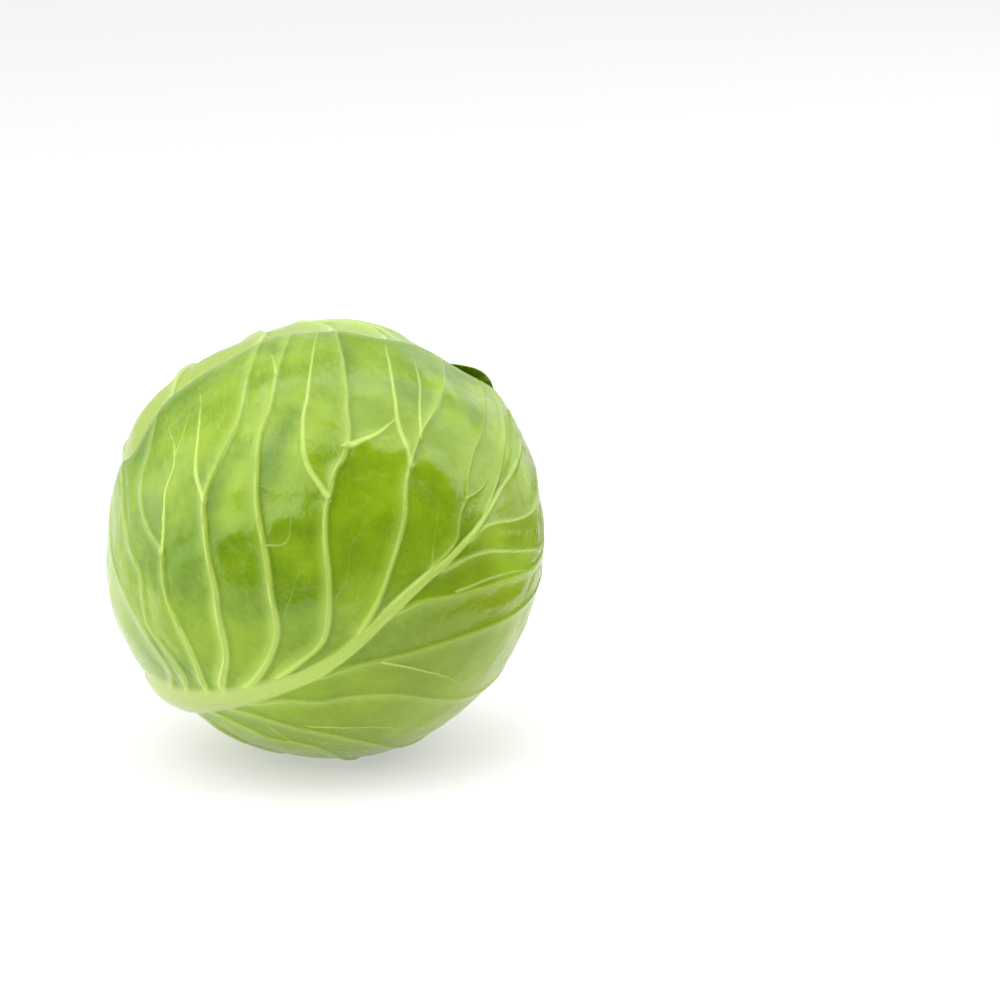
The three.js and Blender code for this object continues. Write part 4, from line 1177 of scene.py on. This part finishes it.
# the floor glows less close to the head: a painted contact shadow, which also lets the head's
# own shade show on it
PAINTED_SHADOW_EDGE, FLOOR_GLOW = (0.03, 0.10), (0.45, 0.68)
bpy.ops.mesh.primitive_plane_add(size=9, location=(0, 0, -FLOOR_DROP))
floor = bpy.context.active_object
floor.name = "floor"
white = bpy.data.materials.new("pale_floor")
white.use_nodes = True
floor_inputs = white.node_tree.nodes["Principled BSDF"].inputs
floor_inputs["Base Color"].default_value = FLOOR_GREY
floor_inputs["Roughness"].default_value = 0.9
floor_inputs["Specular IOR Level"].default_value = 0.1
floor_inputs["Emission Color"].default_value = (1, 1, 1, 1)
floor_place = place(white.node_tree, "ShaderNodeTexCoord").outputs["Object"]
from_head = place(white.node_tree, "ShaderNodeVectorMath", {0: floor_place}, operation="LENGTH")
floor_glow = place(white.node_tree, "ShaderNodeMapRange", {
    0: from_head.outputs["Value"], 1: PAINTED_SHADOW_EDGE[0], 2: PAINTED_SHADOW_EDGE[1],
    3: FLOOR_GLOW[0], 4: FLOOR_GLOW[1]})
white.node_tree.links.new(floor_glow.outputs[0], floor_inputs["Emission Strength"])
floor.data.materials.append(white)

black = bpy.data.materials.new("dark_flag")
black.use_nodes = True
black.node_tree.nodes["Principled BSDF"].inputs["Base Color"].default_value = (0.03, 0.03, 0.03, 1)
black.node_tree.nodes["Principled BSDF"].inputs["Roughness"].default_value = 1.0


def dark_board(name, where, wide, deep):
    """A dark board on the floor that only shows as a reflection in the waxy leaves."""
    bpy.ops.mesh.primitive_plane_add(size=1, location=where)
    board = bpy.context.active_object
    board.name = name
    board.scale = (wide, deep, 1)
    for hidden_from in ("visible_camera", "visible_shadow", "visible_diffuse"):
        setattr(board, hidden_from, False)
    board.data.materials.append(black)
    return board


flag = dark_board("dark_flag", (0, -1.87, 0.004), 4, 3)
side_flag = dark_board("side_flag", (1.20, -0.1, 0.004), 2, 1.6)


def soft_light(name, where, toward, width, height, radiance):
    """A soft box of a given brightness that faces a point."""
    lamp = bpy.data.lights.new(name, "AREA")
    lamp.shape = "RECTANGLE"
    lamp.size, lamp.size_y = width, height
    lamp.energy = math.pi * radiance * width * height
    box = bpy.data.objects.new(name, lamp)
    bpy.context.scene.collection.objects.link(box)
    box.location = where
    box.rotation_euler = (Vector(toward) - Vector(where)).to_track_quat("-Z", "Y").to_euler()
    box.visible_camera = False


OVERHEAD_HEIGHT = 1.25
# each overhead box as its middle in X and Y, its width and depth, and its brightness
OVERHEAD = [(-0.62, -0.35, 0.86, 0.50, 2.7), (0.28, -0.35, 0.80, 0.50, 2.6),
            (1.34, -0.35, 1.20, 0.50, 2.5), (-0.62, 0.28, 0.86, 0.60, 2.3),
            (0.28, 0.26, 0.80, 0.56, 2.7), (1.34, 0.24, 1.20, 0.52, 2.6)]
for k, (x, y, wide, deep, radiance) in enumerate(OVERHEAD):
    soft_light(f"overhead_{k}", (x, y, OVERHEAD_HEIGHT), (x, y, 0.0), wide, deep, radiance)
soft_light("right_wall", (2.0, 0.2, 0.85), (0.0, 0.2, 0.85), 1.2, 0.8, 1.8)
soft_light("front_left", (-0.7, -1.1, 1.15), (-0.7, -1.1, 0.0), 1.1, 1.2, 2.2)
soft_light("left_wall", (-1.2, -0.35, 0.6), (0.0, -0.35, 0.6), 1.9, 1.1, 1.6)
soft_light("behind_right", (1.1, 1.0, 0.7), (0.0, 0.0, 0.1), 1.4, 0.8, 1.0)

world = bpy.data.worlds.new("studio")
world.use_nodes = True
sky = world.node_tree
facing = place(sky, "ShaderNodeSeparateXYZ", {
    0: place(sky, "ShaderNodeTexCoord").outputs["Generated"]}).outputs[1]
glow = place(sky, "ShaderNodeMapRange", {0: facing, 1: -0.1, 2: 0.6, 3: 0.12, 4: 0.75})
seen = place(sky, "ShaderNodeLightPath").outputs["Is Camera Ray"]
sky.links.new(maths(sky, "MAXIMUM", glow.outputs[0], seen),
              sky.nodes["Background"].inputs["Strength"])
sky.nodes["Background"].inputs["Color"].default_value = (1, 1, 1, 1)
bpy.context.scene.world = world
bpy.context.scene.view_settings.view_transform = "Standard"

VIEW_ELEVATION = math.radians(15)
LENS, SENSOR = 200, 36
DISTANCE = 2.272
AIM_RIGHT, AIM_UP = 0.0703, 0.0160
camera = bpy.data.cameras.new("camera")
camera.lens = LENS
camera.sensor_width = SENSOR
camera.clip_end = 20
eye = bpy.data.objects.new("camera", camera)
bpy.context.scene.collection.objects.link(eye)
back, up = math.cos(VIEW_ELEVATION), math.sin(VIEW_ELEVATION)
aim = (AIM_RIGHT, AIM_UP * up, CENTRE_HEIGHT / 1000 + AIM_UP * back)
eye.location = (aim[0], aim[1] - DISTANCE * back, aim[2] + DISTANCE * up)
eye.rotation_euler = (math.pi / 2 - VIEW_ELEVATION, 0, 0)
bpy.context.scene.camera = eye
